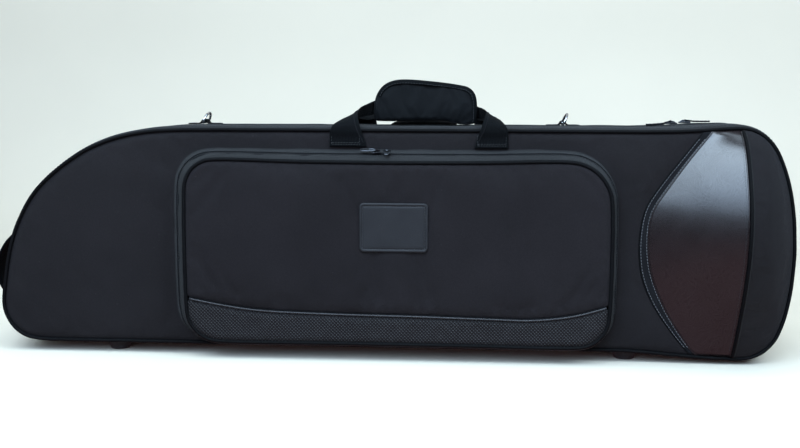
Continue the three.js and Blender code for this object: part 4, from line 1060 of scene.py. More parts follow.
def flare():
    lo, hi = 9.6, 269.2
    zl = np.linspace(lo, hi, 210)
    # the binding strip that covers the seam between cloth and vinyl
    u = np.array([0, 0.02, 0.07, 0.13, 0.2, 0.3, 0.5, 0.7, 0.8, 0.87, 0.93, 0.98, 1.0])
    hgt = np.array([0.0, 0.75, 1.25, 1.45, 1.3, 1.22, 1.2, 1.22, 1.3, 1.5, 1.3, 0.8, 0.05])
    xl, xr = strip(zl), seam(zl) + 0.2
    tuck = np.clip(np.minimum(zl - lo, hi - zl) / 4, 0, 1) ** 0.6
    X = xl[:, None] + (xr - xl)[:, None] * u[None]
    Y = -(73.6 + (1.65 + hgt[None]) * tuck[:, None]) + 0.05 * wob(X, zl[:, None] + X * 0, 9, 5)
    V = np.stack([X, Y, np.broadcast_to(zl[:, None], X.shape)], -1)
    s = length_along(np.stack([xl, zl], 1))
    w = float(np.mean(xr - xl))
    cl = np.stack([np.broadcast_to((u * w)[None], X.shape), np.broadcast_to(s[:, None], X.shape)], -1)
    o = put("flare_binding_tape", V.reshape(-1, 3), [quads(*X.shape)], "front_half", BINDING, cl.reshape(-1, 2), 1.0, (0, -1, 0))
    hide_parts("flare_binding")
    sheet(o, w + 1.6, s[-1])
    rows = []
    for f in (0.13, 0.87):
        j = slice(8, -8)
        rows.append((np.stack([(xl + (xr - xl) * f)[j], -(75.25 + 1.62) + 0 * zl[j], zl[j]], 1), (0, -1, 0)))
    stitches("flare_binding_stitching", rows, "front_half", THREAD_LIGHT, long=2.5, gap=1.0, r=0.36)
    # dark cord on the strip's outer edge: painted shadow of the small gap where the strip meets the cloth
    path = np.stack([xl - 0.5, -(73.4 + 2.2 * tuck), zl], 1)
    tube("flare_binding_edge", path, 0.75, "front_half", CORD)
    # rolled edge of the vinyl beside the strip
    xe = seam(zl) + 0.75
    frac = np.clip((xe - seam(zl)) / (RIM_X - seam(zl)), 0, 1)
    tube("flare_cover_edge", np.stack([xe, -(73.9 + 2.15 * tuck + bulge(zl) * frac), zl], 1), 0.85, "front_half", VINYL, sides=8)
    # smooth vinyl over the slope
    u = np.linspace(0, 1, 64)
    x0, x1 = seam(zl) - 0.8, np.full(len(zl), RIM_X - 1.7)
    X = x0[:, None] + (x1 - x0)[:, None] * u[None]
    Zg = np.broadcast_to(zl[:, None], X.shape)
    frac = np.clip((X - seam(zl)[:, None]) / (RIM_X - seam(zl)[:, None]), 0, 1)
    H = bulge(zl)[:, None] * frac
    edge = np.clip(np.minimum(zl - lo, hi - zl) / 5, 0, 1)[:, None] ** 0.7
    Y = -(73.6 + 1.75 * edge + H + 0.9 * np.sin(math.pi * frac) * np.sin(math.pi * (Zg - lo) / (hi - lo)) + 0.08 * wob(X, Zg, 60, 12) * np.sin(math.pi * frac))
    V = np.stack([X, Y, Zg], -1)
    row = np.concatenate([np.zeros((len(zl), 1)), np.cumsum(np.linalg.norm(np.diff(V, axis=1), axis=2), axis=1)], 1)
    cl = np.stack([row, Zg - 139], -1)
    o = put("flare_cover", V.reshape(-1, 3), [quads(*X.shape)], "front_half", VINYL, cl.reshape(-1, 2), 0, (0, -1, 0))
    a = area_of(o)
    thicken(o, 1.2)
    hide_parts("flare_panel")
    sheet(o, 135, 265, area=min(a, 135 * 264.0))
    # cloth panel between the rim and the bell end
    i0, i1 = nearest(406, 7.0), nearest(397, 270.8)
    A = OUT[i0:i1 + 1] + ON[i0:i1 + 1] * -1.4
    A = spaced(A, 600)
    f = np.linspace(0, 1, 200)
    zr = np.interp(f * (len(ROWS) - 1), np.arange(len(ROWS)), ROWS)
    ker = np.hanning(13)
    ker /= ker.sum()
    pad = np.concatenate([2 * zr[0] - zr[1:7][::-1], zr, 2 * zr[-1] - zr[-7:-1][::-1]])
    zr = np.convolve(pad, ker, "valid")
    ai = np.interp(f, np.linspace(0, 1, 600), np.arange(600)).astype(int)
    ox, oz = A[ai, 0], A[ai, 1]
    u = np.linspace(0, 1, 44) ** 0.9
    X = (RIM_X + 1.7) + (np.maximum(ox, RIM_X + 2.4)[:, None] - (RIM_X + 1.7)) * u[None]
    Zg = zr[:, None] + (oz - zr)[:, None] * (u ** 2 * 0.6 + u * 0.4)[None]
    ue = (X - RIM_X) / np.maximum(ox - RIM_X, 1.0)[:, None]
    H = bulge(zr)[:, None] * (1 - np.clip(ue, 0, 1) ** 1.9)
    d = np.minimum(1, (1 - u)[None] * np.maximum(ox - RIM_X, 4)[:, None] / 5)
    Y = -(73.4 + 1.9 * d ** 0.6 + H + 0.25 * wob(X, Zg, 45, 17) * np.sin(math.pi * u)[None])
    V = np.stack([X, Y, Zg], -1)
    row = np.concatenate([np.zeros((len(zr), 1)), np.cumsum(np.linalg.norm(np.diff(V, axis=1), axis=2), axis=1)], 1)
    cl = np.stack([row, Zg - 139], -1)
    o = put("end_panel_cover", V.reshape(-1, 3), [quads(*X.shape)], "front_half", NYLON, cl.reshape(-1, 2), 0, (0, -1, 0))
    n, m = X.shape
    jj = np.arange(n * m) % m
    ii = np.arange(n * m) // m
    inflate(o, (jj < 2) | (jj > m - 3) | (ii < 5) | (ii > n - 6), pressure=2.0, grow=0.004, cap=1.2, frames=12)
    thicken(o, 1.1)
    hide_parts("end_panel")
    # rim piping on the ridge, with the folded edges of both covers beside it; the cloth side's edge is drawn in the
    # paler gusset cloth, a painted highlight
    z = np.linspace(11.5, 266.0, 150)
    dz = (bulge(z + 0.5) - bulge(z - 0.5))
    l = np.hypot(1, dz)
    path = np.stack([np.full(len(z), RIM_X), -73.7 - bulge(z) - 2.55 / l, z - 2.55 * dz / l], 1)
    p = tube("rim_piping_cord", path, 1.7, "front_half", CORD, sides=14)
    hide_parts("rim_piping")
    for name, dx, mat in (("rim_edge_vinyl", -2.5, VINYL), ("rim_edge_cloth", 2.5, GUSSET)):
        e = path.copy()
        e[:, 0] += dx
        e[:, 1] += 1.35 / l
        e[:, 2] += 1.35 * dz / l
        tube(name, e, 0.8, "front_half", mat, sides=8)
    e = path.copy()
    e[:, 0] -= 4.6
    e[:, 1] += 1.6 / l + 0.0
    e[:, 2] += 1.6 * dz / l
    H = bulge(e[:, 2]) * (e[:, 0] - seam(e[:, 2])) / (RIM_X - seam(e[:, 2]))
    e[:, 1] = -(75.35 + H + 0.25)
    stitches("rim_stitching", [(e[4:-4], np.stack([0 * z, -1 / l, -dz / l], 1)[4:-4])], "front_half", THREAD_DARK, long=2.4, gap=1.1, r=0.28)


# ------------------------------------------------------------------ the pocket
SEG = 5


def round_rect(x0, x1, z0, z1, r, sag):
    pts = []
    mix = lambda a, b, t: a + (b - a) * t

    def corner(cx, cz, rad, a0):
        for k in range(SEG + 1):
            a = a0 + k * math.pi / 2 / SEG
            pts.append((cx + rad * math.cos(a), cz + rad * math.sin(a)))
    corner(x0 + r[0], z0 + r[0], r[0], math.pi)
    for f in (0.33, 0.67):
        pts.append((mix(x0 + r[0], x1 - r[1], f), z0))
    corner(x1 - r[1], z0 + r[1], r[1], -math.pi / 2)
    corner(x1 - r[2], z1 - r[2], r[2], 0)
    for f in (0.25, 0.5, 0.75):
        pts.append((mix(x1 - r[2], x0 + r[3], f), z1))
    corner(x0 + r[3], z1 - r[3], r[3], math.pi / 2)
    xm, hw = (x0 + x1) / 2, (x1 - x0) / 2
    return [(x, z - sag * (1 - ((x - xm) / hw) ** 2) * max(0, (z - (z1 - 40)) / 40) if z > (z0 + z1) / 2 else z) for x, z in pts]


POCKET_BASE = round_rect(-249, 261, 19.5, 244, [42, 40, 58, 42], 0.5)
POCKET_FACE = round_rect(-233.5, 254, 21, 234.2, [38, 36, 52, 36], 3.4)
FACE_Y = -94.8
NP = 520
P4 = spaced(crom(np.hstack([POCKET_BASE, POCKET_FACE]), True, per=10), NP, True)
PB, PF = P4[:, :2], P4[:, 2:]
PN = normal_2d(PF)
PS = length_along(np.concatenate([PF, PF[:1]]))[:-1]
TRIM = [(-240, 74.2), (-230, 72.5), (-195, 66), (-152, 60.2), (-65, 57), (38, 55.7), (108, 54.3), (170, 53.8), (215, 59.5), (250, 69.3), (262, 72.6)]
trim = table(TRIM)


def pocket_at(t, off, idx=None):
    b, f, n = (PB, PF, PN) if idx is None else (PB[idx], PF[idx], PN[idx])
    puff = 2.2 * math.sin(math.pi * min(1, max(0, t)))
    x = b[:, 0] + (f[:, 0] - b[:, 0]) * t + n[:, 0] * (puff + off)
    z = b[:, 1] + (f[:, 1] - b[:, 1]) * t + n[:, 1] * (puff * np.where(n[:, 1] < -0.5, 0.3, 1) + off)
    return np.stack([x, np.full(len(x), -75.8 - 19 * t), z], 1)


def pocket_band(name, section, body, mat, idx=None, amp=0.0, seed=5, thick=1.0, wave=45):
    k = np.arange(NP) if idx is None else idx
    s = PS[k]
    t = length_along(np.array([(a * 19, b) for a, b in section], float))
    rows = []
    for (tt, off), c in zip(section, t):
        a = amp * wob(s, np.full(len(s), c), wave, seed)
        if idx is None:
            a = a * np.minimum(1, np.minimum(np.arange(NP), NP - np.arange(NP)) / 10)
        rows.append(pocket_at(tt, off + a, k))
    V = np.stack(rows, 1)
    n, m = V.shape[:2]
    cl = np.stack([np.broadcast_to(np.arange(n)[:, None] * PS[1], (n, m)), np.broadcast_to(t[None], (n, m))], -1)
    o = put(name, V.reshape(-1, 3), [quads(n, m, idx is None, False)], body, mat, cl.reshape(-1, 2), 0, "round")
    if thick:
        thicken(o, thick)
    return o, float(np.linalg.norm(np.diff(V[:, m // 2], axis=0), axis=1).sum()), float(t[-1])


def near_pocket(x, z):
    return int(np.argmin((PB[:, 0] - x) ** 2 + (PB[:, 1] - z) ** 2))


def pocket():
    R0 = near_pocket(*POCKET_BASE[13])
    run = np.arange(R0, NP + 1) % NP
    low = np.concatenate([np.arange(0, R0 + 1)])
    o, l, w = pocket_band("pocket_gusset_back_cloth", smooth_section([(-0.03, 2.6), (0.0, 0.9), (0.06, 0.15), (0.2, 0.1), (0.34, 0.15), (0.385, 0.35), (0.41, 0.75), (0.435, 0.55), (0.44, 0.1)], 20), "front_half", GUSSET, amp=0.32, seed=6)
    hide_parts("pocket_gusset_back")
    sheet(o, w, l)
    o, l, w = pocket_band("pocket_gusset_front_cloth", smooth_section([(0.56, 0.1), (0.565, 0.55), (0.59, 0.8), (0.615, 0.4), (0.66, 0.2), (0.78, 0.1), (0.9, -0.4), (0.97, -1.3)], 20), "pocket_flap", GUSSET, amp=0.32, seed=7)
    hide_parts("pocket_gusset_front")
    sheet(o, w, l)
    # zip tapes and coils
    for side, body, sec, tc in (("back", "front_half", [(0.36, 0.0), (0.41, 0.35), (0.45, 0.8), (0.486, 0.95)], 0.487), ("front", "pocket_flap", [(0.64, 0.0), (0.59, 0.35), (0.55, 0.8), (0.514, 0.95)], 0.513)):
        o, l, w = pocket_band("pocket_zip_tape_" + side + "_cloth", smooth_section(sec, 7), body, TAPE, idx=run, thick=0.6)
        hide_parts("pocket_zip_tape_" + side)
        sheet(o, w, l)
        line = pocket_at(tc, 1.35, run)
        nn = np.stack([PN[run, 0], PN[run, 0] * 0, PN[run, 1]], 1)
        mid, fwd, up = marks(line, 1.9, nn)
        if side == "front":
            mid = mid + fwd * 0.95
        V, P, cl = capsules(mid, (0, 1, 0), up, 1.2, 0.52, 1.1)
        put("pocket_coil_" + side, V, P, body, COIL, cl, closed=True)
        rows = [(pocket_at(0.40 if side == "back" else 0.60, 1.0, run), nn)]
        stitches("pocket_zip_stitching_" + side, rows, body, THREAD_DARK, long=2.2, gap=1.1, r=0.24)
    # the flap's cloth hinge under the pocket
    mid_run = low[4:-4]
    o, l, w = pocket_band("pocket_hinge_cloth", smooth_section([(0.38, 0.2), (0.44, 0.8), (0.5, 1.0), (0.56, 0.8), (0.62, 0.2)], 13), None, TAPE, idx=mid_run, thick=0.7)
    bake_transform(o)
    sheet(o, w, l)
    # piping round the face
    path = np.stack([PF[:, 0] + 0.1 * wob(PS, PS * 0, 30, 3) * np.minimum(1, np.minimum(PS, PS[-1] - PS) / 20), np.full(NP, FACE_Y - 0.4), PF[:, 1]], 1)
    p = tube("pocket_piping_cord", path, 2.25, "pocket_flap", CORD, closed=True, sides=14)
    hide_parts("pocket_piping")
    # a thin pale cord just outside the piping along the pocket's lower edge: painted highlight where the gusset's
    # underside catches light
    i0, i1 = int(NP * 0.93), int(NP * 0.42)
    k = np.arange(i0 - NP, i1) % NP
    e = np.clip(np.minimum(np.arange(len(k)), len(k) - 1 - np.arange(len(k))) / 25, 0, 1)
    path = np.stack([PF[k, 0] + PN[k, 0] * 2.35, FACE_Y + 1.6 + 0 * e, PF[k, 1] + PN[k, 1] * 2.35], 1)
    V, Pq, cl = sweep(path, circle(0.75, 8), scale=0.2 + 0.8 * e)
    put("pocket_lower_fold", V, Pq, "pocket_flap", SEAM_CORD_PAINTED_HIGHLIGHT, cl, closed=True)
    # padded upper panel
    E = PF + PN * -1.1
    keep = E[:, 1] > trim(E[:, 0]) + 0.3
    r = clip_run(E, keep)
    xs = walk(r[-1][0], r[0][0], 5.0)
    BU = np.concatenate([r, np.stack([xs, trim(xs) + 0.3], 1)])
    P, T = flat_mesh(BU, 5.0)
    d = edge_distance(P[:, 0], P[:, 1], BU)
    y = -(fold_in(d, -FACE_Y + 0.1, -FACE_Y + 1.9, 4.0) + 0.9 * (1 - np.exp(-d / 28)) + 0.2 * (wob(P[:, 0], P[:, 1], 90, 41)) * (1 - np.exp(-d / 14)))
    o = put("pocket_panel_cover", np.stack([P[:, 0], y, P[:, 1]], 1), [T], "pocket_flap", NYLON_PAD, P, 0, (0, -1, 0))
    px, pz, hw, hh = 8.7, 157.25, 39.2, 28.15
    inpatch = (np.abs(P[:, 0] - px) < hw - 3) & (np.abs(P[:, 1] - pz) < hh - 3)
    inflate(o, (d < 2.0) | inpatch, pressure=3.0, grow=0.012, cap=2.4, frames=16)
    V = coords_of(o)
    near = (np.abs(P[:, 0] - px) < hw + 12) & (np.abs(P[:, 1] - pz) < hh + 12)
    dx = np.maximum(0, np.maximum(np.abs(P[:, 0] - px) - hw, np.abs(P[:, 1] - pz) - hh))
    bed = -98.1 - 0.12 * dx
    V[:, 1] = np.where(near, np.maximum(V[:, 1], bed), V[:, 1])
    V[:, 1] = np.maximum(V[:, 1], -101.5)
    move_to(o, V)
    thicken(o, 1.0)
    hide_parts("pocket_panel")
    # ribbed trim below it
    keep = E[:, 1] < trim(E[:, 0]) - 2.4
    r = clip_run(E, keep)
    xs = walk(r[-1][0], r[0][0], 5.0)
    BL = np.concatenate([r, np.stack([xs, trim(xs) - 2.4], 1)])
    P, T = flat_mesh(BL, 3.6, rings=(0.8, 1.8, 3.2, 5.0))
    d = edge_distance(P[:, 0], P[:, 1], BL)
    y = -(fold_in(d, -FACE_Y + 0.1, -FACE_Y + 1.5, 2.6) + 0.45 * (1 - np.exp(-d / 10)))
    o = put("pocket_trim_mesh", np.stack([P[:, 0], y, P[:, 1]], 1), [T], "pocket_flap", MESHED, P, 0, (0, -1, 0))
    inflate(o, d < 1.4, pressure=2.0, grow=0.008, cap=0.9, frames=12)
    a = area_of(o)
    thicken(o, 0.9)
    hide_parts("pocket_trim")
    sheet(o, 492, 56, area=min(a, 27500.0))
    # raised seam cord, paler than the cloth as a painted highlight, under a dark cord that is painted shadow of the
    # panel's lower edge
    xs = np.linspace(-229.8, 250.2, 240)
    cord = np.stack([xs, np.full(240, FACE_Y - 1.9), trim(xs) - 1.25], 1)
    end = np.clip(np.minimum(xs + 229.8, 250.2 - xs) / 4, 0, 1)
    cord[:, 1] += (1 - end) * 1.5
    tube("pocket_seam_cord", cord, 1.05, "pocket_flap", SEAM_CORD_PAINTED_HIGHLIGHT, sides=10)
    dark = cord.copy()
    dark[:, 2] += 1.75
    dark[:, 1] += 0.35
    tube("pocket_seam_shadow_cord", dark, 0.7, "pocket_flap", CORD, sides=8)
    up = cord.copy()
    up[:, 2] += 5.0
    up[:, 1] = FACE_Y - 2.15
    # bare patch: bevelled rim, a pressed groove and a stitched edge
    def patch_ring(inset, yv, rad):
        pts = []
        for cx, cz, a0 in ((1, 1, 0), (-1, 1, 1), (-1, -1, 2), (1, -1, 3)):
            rr = max(0.6, rad - inset)
            for k in range(9):
                a = (a0 + k / 8) * math.pi / 2
                pts.append((px + cx * (hw - rad) + rr * math.cos(a), yv, pz + cz * (hh - rad) + rr * math.sin(a)))
        q = np.array(pts)
        q[:, 0] += np.sign(q[:, 0] - px) * (rad - inset - max(0.6, rad - inset))
        q[:, 2] += np.sign(q[:, 2] - pz) * (rad - inset - max(0.6, rad - inset))
        return spaced(q, 160, True)
    steps = [(0.4, -97.5), (0.0, -98.2), (0.05, -99.2), (0.5, -99.85), (1.3, -100.15), (2.3, -100.1), (2.9, -99.75), (3.3, -99.35), (3.9, -99.3), (4.4, -99.6), (5.2, -99.75), (8.0, -99.72), (14, -99.68), (20, -99.66), (25, -99.66)]
    rings = [patch_ring(i, y0, 5.2) for i, y0 in steps]
    V = np.concatenate(rings + [np.array([[px, -99.66, pz]])])
    m = 160
    Pq = [quads(len(rings), m, False, True), np.stack([np.arange(m) + (len(rings) - 1) * m, (np.arange(m) + 1) % m + (len(rings) - 1) * m, np.full(m, len(rings) * m)], 1), np.arange(m)[None, ::-1]]
    o = put("pocket_patch_cover", V, Pq, "pocket_flap", PATCH, V[:, [0, 2]], closed=True)
    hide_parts("pocket_patch")
    q = patch_ring(3.6, -99.62, 5.2)
    stitches("patch_stitching", [(np.concatenate([q, q[:1]]), (0, -1, 0))], "pocket_flap", THREAD, long=1.9, gap=1.25, r=0.28)


# ------------------------------------------------------------------ sliders and pulls


def rounded_bar(half, bevel, seg=3):
    bm = bmesh.new()
    bmesh.ops.create_cube(bm, size=1.0)
    for v in bm.verts:
        v.co = Vector((v.co.x * 2 * half[0], v.co.y * 2 * half[1], v.co.z * 2 * half[2]))
    bmesh.ops.bevel(bm, geom=bm.edges[:], offset=bevel, segments=seg, profile=0.6, affect="EDGES")
    bm.verts.ensure_lookup_table()
    V = np.array([v.co[:] for v in bm.verts])
    F = [[v.index for v in f.verts] for f in bm.faces]
    bm.free()
    by = {}
    for f in F:
        by.setdefault(len(f), []).append(f)
    return V, [np.array(f) for f in by.values()]


def tilt_place(V, cx, cy, cz, tilt, shift=0.0):
    c, s = math.cos(tilt), math.sin(tilt)
    y, z = V[:, 1] + shift, V[:, 2]
    return np.stack([V[:, 0] + cx, cy + y * c - z * s, cz + y * s + z * c], 1)


def slider_parts(x0, x1, w, t0, t1, nose):
    """Top plate of a zip slider, narrower at its nose, with two raised rails and a bridge."""
    L, parts = x1 - x0, []
    V, F = rounded_bar((L / 2, w, (t1 - t0) * 0.36), 0.45)
    V[:, 2] += t0 + (t1 - t0) * 0.36
    f = 1 - 0.34 * np.clip((V[:, 0] * nose + L / 2) / L, 0, 1) ** 1.4
    V[:, 1] *= f
    parts.append((V, F, None))
    for sg in (-1, 1):
        V, F = rounded_bar((L * 0.4, 0.45, 0.4), 0.25, 2)
        V[:, 1] += sg * (w - 0.9)
        V[:, 1] *= 1 - 0.34 * np.clip((V[:, 0] * nose + L / 2) / L, 0, 1) ** 1.4
        V[:, 2] += t0 + (t1 - t0) * 0.78
        parts.append((V, F, None))
    a = np.linspace(0, math.pi, 13)
    path = np.stack([-L * 0.3 * np.cos(a), 0 * a, t0 + (t1 - t0) * 0.62 + (t1 - t0) * 0.72 * np.sin(a) ** 0.7], 1)
    V, F, cl = sweep(path, circle(0.62, 8, 1.0) * np.array([1.5, 1.0]), False, (0, 1, 0))
    parts.append((V, F, None))
    return parts


def place(name, parts, fn, body, mat, sharp=40):
    V, P, cl = merge([(fn(v), p, None) for v, p, _ in parts])
    o = put(name, V, P, body, mat, None, closed=True)
    o.data.set_sharp_from_angle(angle=math.radians(sharp))
    return o


def pull_frame(length, half_w, thick, r=1.05):
    """A flat pull: a bent rod round a slot, with a solid finger end."""
    a = np.linspace(0, 2 * math.pi, 49)[:-1]
    sx = np.sign(np.cos(a)) * np.abs(np.cos(a)) ** 0.55
    sy = np.sign(np.sin(a)) * np.abs(np.sin(a)) ** 0.55
    path = np.stack([(length / 2 - r) * sx, (half_w - r) * sy, 0 * a], 1)
    V, F, cl = sweep(path, circle(r, 8, thick / 2 / r), True, (0, 0, 1))
    parts = [(V, F, None)]
    V, F = rounded_bar((length * 0.27, half_w - 0.7, thick * 0.42), 0.3, 2)
    V[:, 0] -= length * 0.17
    parts.append((V, F, None))
    return parts


def sliders():
    T, cy, cz = 0.59, -85.3, 241.4
    for side, x0, x1, nose in (("left", -17.5, -7.0, 1), ("right", -4.5, 4.0, -1)):
        o = place("pocket_slider_%s_body" % side, slider_parts(x0, x1, 3.8, 0.9, 3.2, nose), lambda V, c=(x0 + x1) / 2: tilt_place(V, c, cy, cz, T), "pocket_zip_" + side, DARK_METAL)
        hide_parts("pocket_slider_" + side)
    fr = pull_frame(18.5, 2.8, 1.5)
    for v, _, _ in fr:
        v[:, 2] += 4.25
    o = place("pocket_pull_left_tab", fr, lambda V: tilt_place(V, -21.75, cy, cz, T), "pocket_tag_left", DARK_METAL)
    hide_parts("pocket_pull_left")
    fr = pull_frame(10.4, 3.2, 1.5)
    turned = []
    for v, f, c in fr:
        turned.append((np.stack([v[:, 1], v[:, 0], v[:, 2] + 4.25], 1), [p[:, ::-1] for p in f], c))
    o = place("pocket_pull_right_tab", turned, lambda V: tilt_place(V, -0.2, cy, cz, T, -4.4), "pocket_tag_right", DARK_METAL)
    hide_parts("pocket_pull_right")
    for side, x0, x1, z, nose in (("left", 331.5, 345, 274.2, 1), ("right", 347, 360.5, 275.6, -1)):
        o = place("main_slider_%s_body" % side, slider_parts(x0, x1, 3.6, 0.0, 2.4, nose), lambda V, c=(x0 + x1) / 2, zz=z: V + np.array([c, PART_Y, zz]), "main_zip_" + side, DARK_METAL)
        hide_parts("main_slider_" + side)
    for side, x0, x1, z0, z1, up in (("left", 338, 308, 277.8, 275.3, -0.35), ("right", 354, 384, 279.2, 278.9, -0.25)):
        t = np.linspace(0, 1, 40)
        drop, half = (2.0, 1.15) if side == "left" else (1.1, 0.85)
        C = np.stack([x0 + (x1 - x0) * t, np.full(40, PART_Y), z0 + (z1 - z0) * t + up * 4 * t * (1 - t) - drop * np.clip(t * 3, 0, 1)], 1)
        endw = np.clip(np.minimum(t * 30 / 3.0 + 0.55, (1 - t) * 30 / 2.2 + 0.3), 0, 1)
        W = np.stack([0 * t, 3.2 * endw, 0 * t], 1)
        H = np.stack([0 * t, 0 * t, half + 0.12 * np.sin(t * 40)], 1)
        o = ribbon("main_pull_%s_tab" % side, C, W, H, "main_tag_" + side, BINDING)
        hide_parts("main_pull_" + side)
        rows = [(np.stack([C[4:-4, 0], C[4:-4, 1] + dy, C[4:-4, 2] + 0.95], 1), (0, 0, 1)) for dy in (-2.2, 2.2)]
        stitches("main_pull_%s_stitching" % side, rows, "main_tag_" + side, THREAD_DARK, long=1.9, gap=0.9, r=0.2)


# ------------------------------------------------------------------ straps, grip, rings


def strap_rows(rows, n):
    A = np.array([[*c, *w, *t] for c, w, t in rows], float)
    D = spaced(crom(A, per=12, key=3), n, key=3)
    return D[:, :3], D[:, 3:6], D[:, 6:9]


FRONT_STRAP = [
    ([-45.6, -77.1, 248.0], [21.6, 0, 0], [0, -1.2, 0]), ([-47.0, -77.3, 258], [19.9, 0, 0], [0, -1.2, 0]),
    ([-48.2, -79.0, 266], [18.1, 0, 0], [0, -1.2, 0.1]), ([-47.8, -78.2, 273], [15.4, 0, 0.9], [0, -1.1, 0.9]),
    ([-45.9, -72.6, 278.6], [11.6, -2, 2.6], [0, -0.7, 1.5]), ([-42.6, -58, 283.4], [7.2, -4, 4.2], [0.2, 0.4, 2.2]),
    ([-36.5, -38, 287.2], [3.4, -3, 6.6], [0.9, 2.2, 1.4]), ([-27.5, -17, 290.6], [1.4, -1, 7.8], [1.6, 2.8, 0.3]),
    ([-19, 0.8, 293.8], [0, 0, 8.6], [0, 3.3, 0]), ([0, 1.5, 297.5], [0, 0, 11.0], [0, 3.8, 0]),
    ([42, 1.5, 297.8], [0, 0, 12.0], [0, 3.8, 0]),
    ([82, 1.5, 293.5], [0, 0, 10.0], [0, 3.8, 0]), ([100, 0.8, 288.0], [0, 0, 7.6], [0, 3.2, 0]),
    ([108.6, -17, 286.2], [-1.4, -1, 6.6], [-1.6, 2.8, 0.3]), ([114.5, -38, 284.8], [-3.4, -3, 5.4], [-0.9, 2.2, 1.4]),
    ([118.6, -58, 282.6], [-6.6, -4, 3.6], [-0.2, 0.4, 2.2]), ([120.4, -72.6, 278.2], [-10.4, -2, 2.4], [0, -0.7, 1.5]),
    ([121.2, -78.2, 272.6], [-13.6, 0, 0.8], [0, -1.1, 0.9]), ([121.2, -79.0, 266], [-15.9, 0, 0], [0, -1.2, 0.1]),
    ([119.9, -77.3, 258], [-17.6, 0, 0], [0, -1.2, 0]), ([118.4, -77.1, 246.8], [-19.4, 0, 0], [0, -1.2, 0])]
REAR_STRAP = [
    ([-48.3, 115.0, 250.0], [18.6, 0, 0], [0, 1.2, 0]), ([-48.3, 115.1, 258], [18.6, 0, 0], [0, 1.2, 0]),
    ([-48.2, 116.3, 266], [18.4, 0, 0], [0, 1.2, 0.1]), ([-47.6, 115.2, 273], [17.5, 0, 0.6], [0, 1.1, 0.9]),
    ([-46.2, 109, 278.2], [14.5, 2, 1.6], [0, 0.7, 1.5]), ([-43.2, 95, 281.6], [11, 3, 1.6], [0, -0.2, 2.0]),
    ([-37, 66, 283.6], [7, 4, 4], [0.4, -1.0, 2.0]), ([-29, 42, 286], [3, 3, 8], [1.4, -2.0, 1.2]),
    ([-20, 24, 289], [0.6, 1, 9.5], [1, -2.5, 0.3]), ([0, 21.4, 290], [0, 0, 9.5], [0, -2.6, 0]),
    ([42, 21.4, 289], [0, 0, 9.5], [0, -2.6, 0]),
    ([85, 21.4, 288], [0, 0, 9.5], [0, -2.6, 0]), ([101, 24, 287], [-0.6, 1, 9.2], [-1, -2.5, 0.3]),
    ([107.5, 42, 285], [-3, 3, 7.4], [-1.4, -2.0, 1.2]), ([113.5, 66, 283], [-7, 4, 4], [-0.4, -1.0, 2.0]),
    ([117.6, 95, 281.2], [-11, 3, 1.6], [0, -0.2, 2.0]), ([118.5, 109, 278], [-14.5, 2, 1.6], [0, 0.7, 1.5]),
    ([118.7, 115.2, 273], [-17.5, 0, 0.6], [0, 1.1, 0.9]), ([118.7, 116.3, 266], [-18.4, 0, 0], [0, 1.2, 0.1]),
    ([118.7, 115.1, 258], [-18.6, 0, 0], [0, 1.2, 0]), ([118.7, 115.0, 250.0], [-18.6, 0, 0], [0, 1.2, 0])]
GRIP = [(-20, 281), (-17.5, 279), (62, 278.6), (76, 274.2), (98, 272.9), (100.6, 275.6), (100.6, 303), (97.5, 311), (91, 316.5), (80, 319.2), (54, 322.8), (14, 325.6), (2, 324.2), (-7, 320.5), (-13.5, 314.6), (-18, 306), (-20, 296)]


def strap_base(name, xc, yc, sg, z0, z1, body):
    """Stitching on the sewn end of a strap: a stitched box, with a second row near the bottom."""
    hw, y = 16.2, yc + sg * 1.55
    rows = []
    corners = [(-hw, z0 + 2.2), (hw, z0 + 2.2), (hw, z1), (-hw, z1), (-hw, z0 + 2.2)]
    rows.append(spaced(np.array(corners), 60))
    rows.append(np.array([(-hw, z0 + 4.2), (hw, z0 + 4.2)]))
    runs = [(np.stack([xc + r[:, 0], np.full(len(r), y), r[:, 1]], 1), (0, sg, 0)) for r in rows]
    stitches(name, runs, body, THREAD_DARK, long=2.1, gap=0.9, r=0.26)


def straps():
    for name, rows, body, y, sg in (("front_strap", FRONT_STRAP, "front_handle", -77.3, -1), ("rear_strap", REAR_STRAP, "rear_handle", 115.1, 1)):
        C, W, T = strap_rows(rows, 260)
        s = length_along(C)
        T = T * (1 + 0.05 * np.sin(s * 0.33))[:, None]
        o = ribbon(name + "_webbing", C, W, T, body, WEB)
        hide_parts(name)
        z0, z1 = (248.5, 247.5) if sg < 0 else (249.4, 249.4)
        strap_base(name + "_stitching_left", -48.3, y, sg, z0, 262.0, body)
        strap_base(name + "_stitching_right", 118.7, y, sg, z1, 262.0, body)
        # the tape is folded to half its width on its way up: the fold's edge shows as a raised line; on the front strap
        # it is drawn in the paler binding tape, a painted highlight along the fold
        for k, side in enumerate(("left", "right")):
            n = 62
            sel = np.arange(n) if k == 0 else np.arange(len(C) - 1, len(C) - 1 - n, -1)
            c, w, t = C[sel], W[sel], T[sel]
            t = t * np.sign((t * np.array([0, sg, 0.9])).sum(1))[:, None]
            f = np.linspace(0.93, 0.1, n)
            if k == 1:
                f = -f
            e = c + w * f[:, None] * np.sign(w[:, :1] + 1e-9) + unit(t) * (np.linalg.norm(t, axis=1) + 0.15)[:, None]
            tube("%s_fold_%s" % (name, side), e[3:54], 0.5, body, BINDING if sg < 0 else CORD, sides=8)


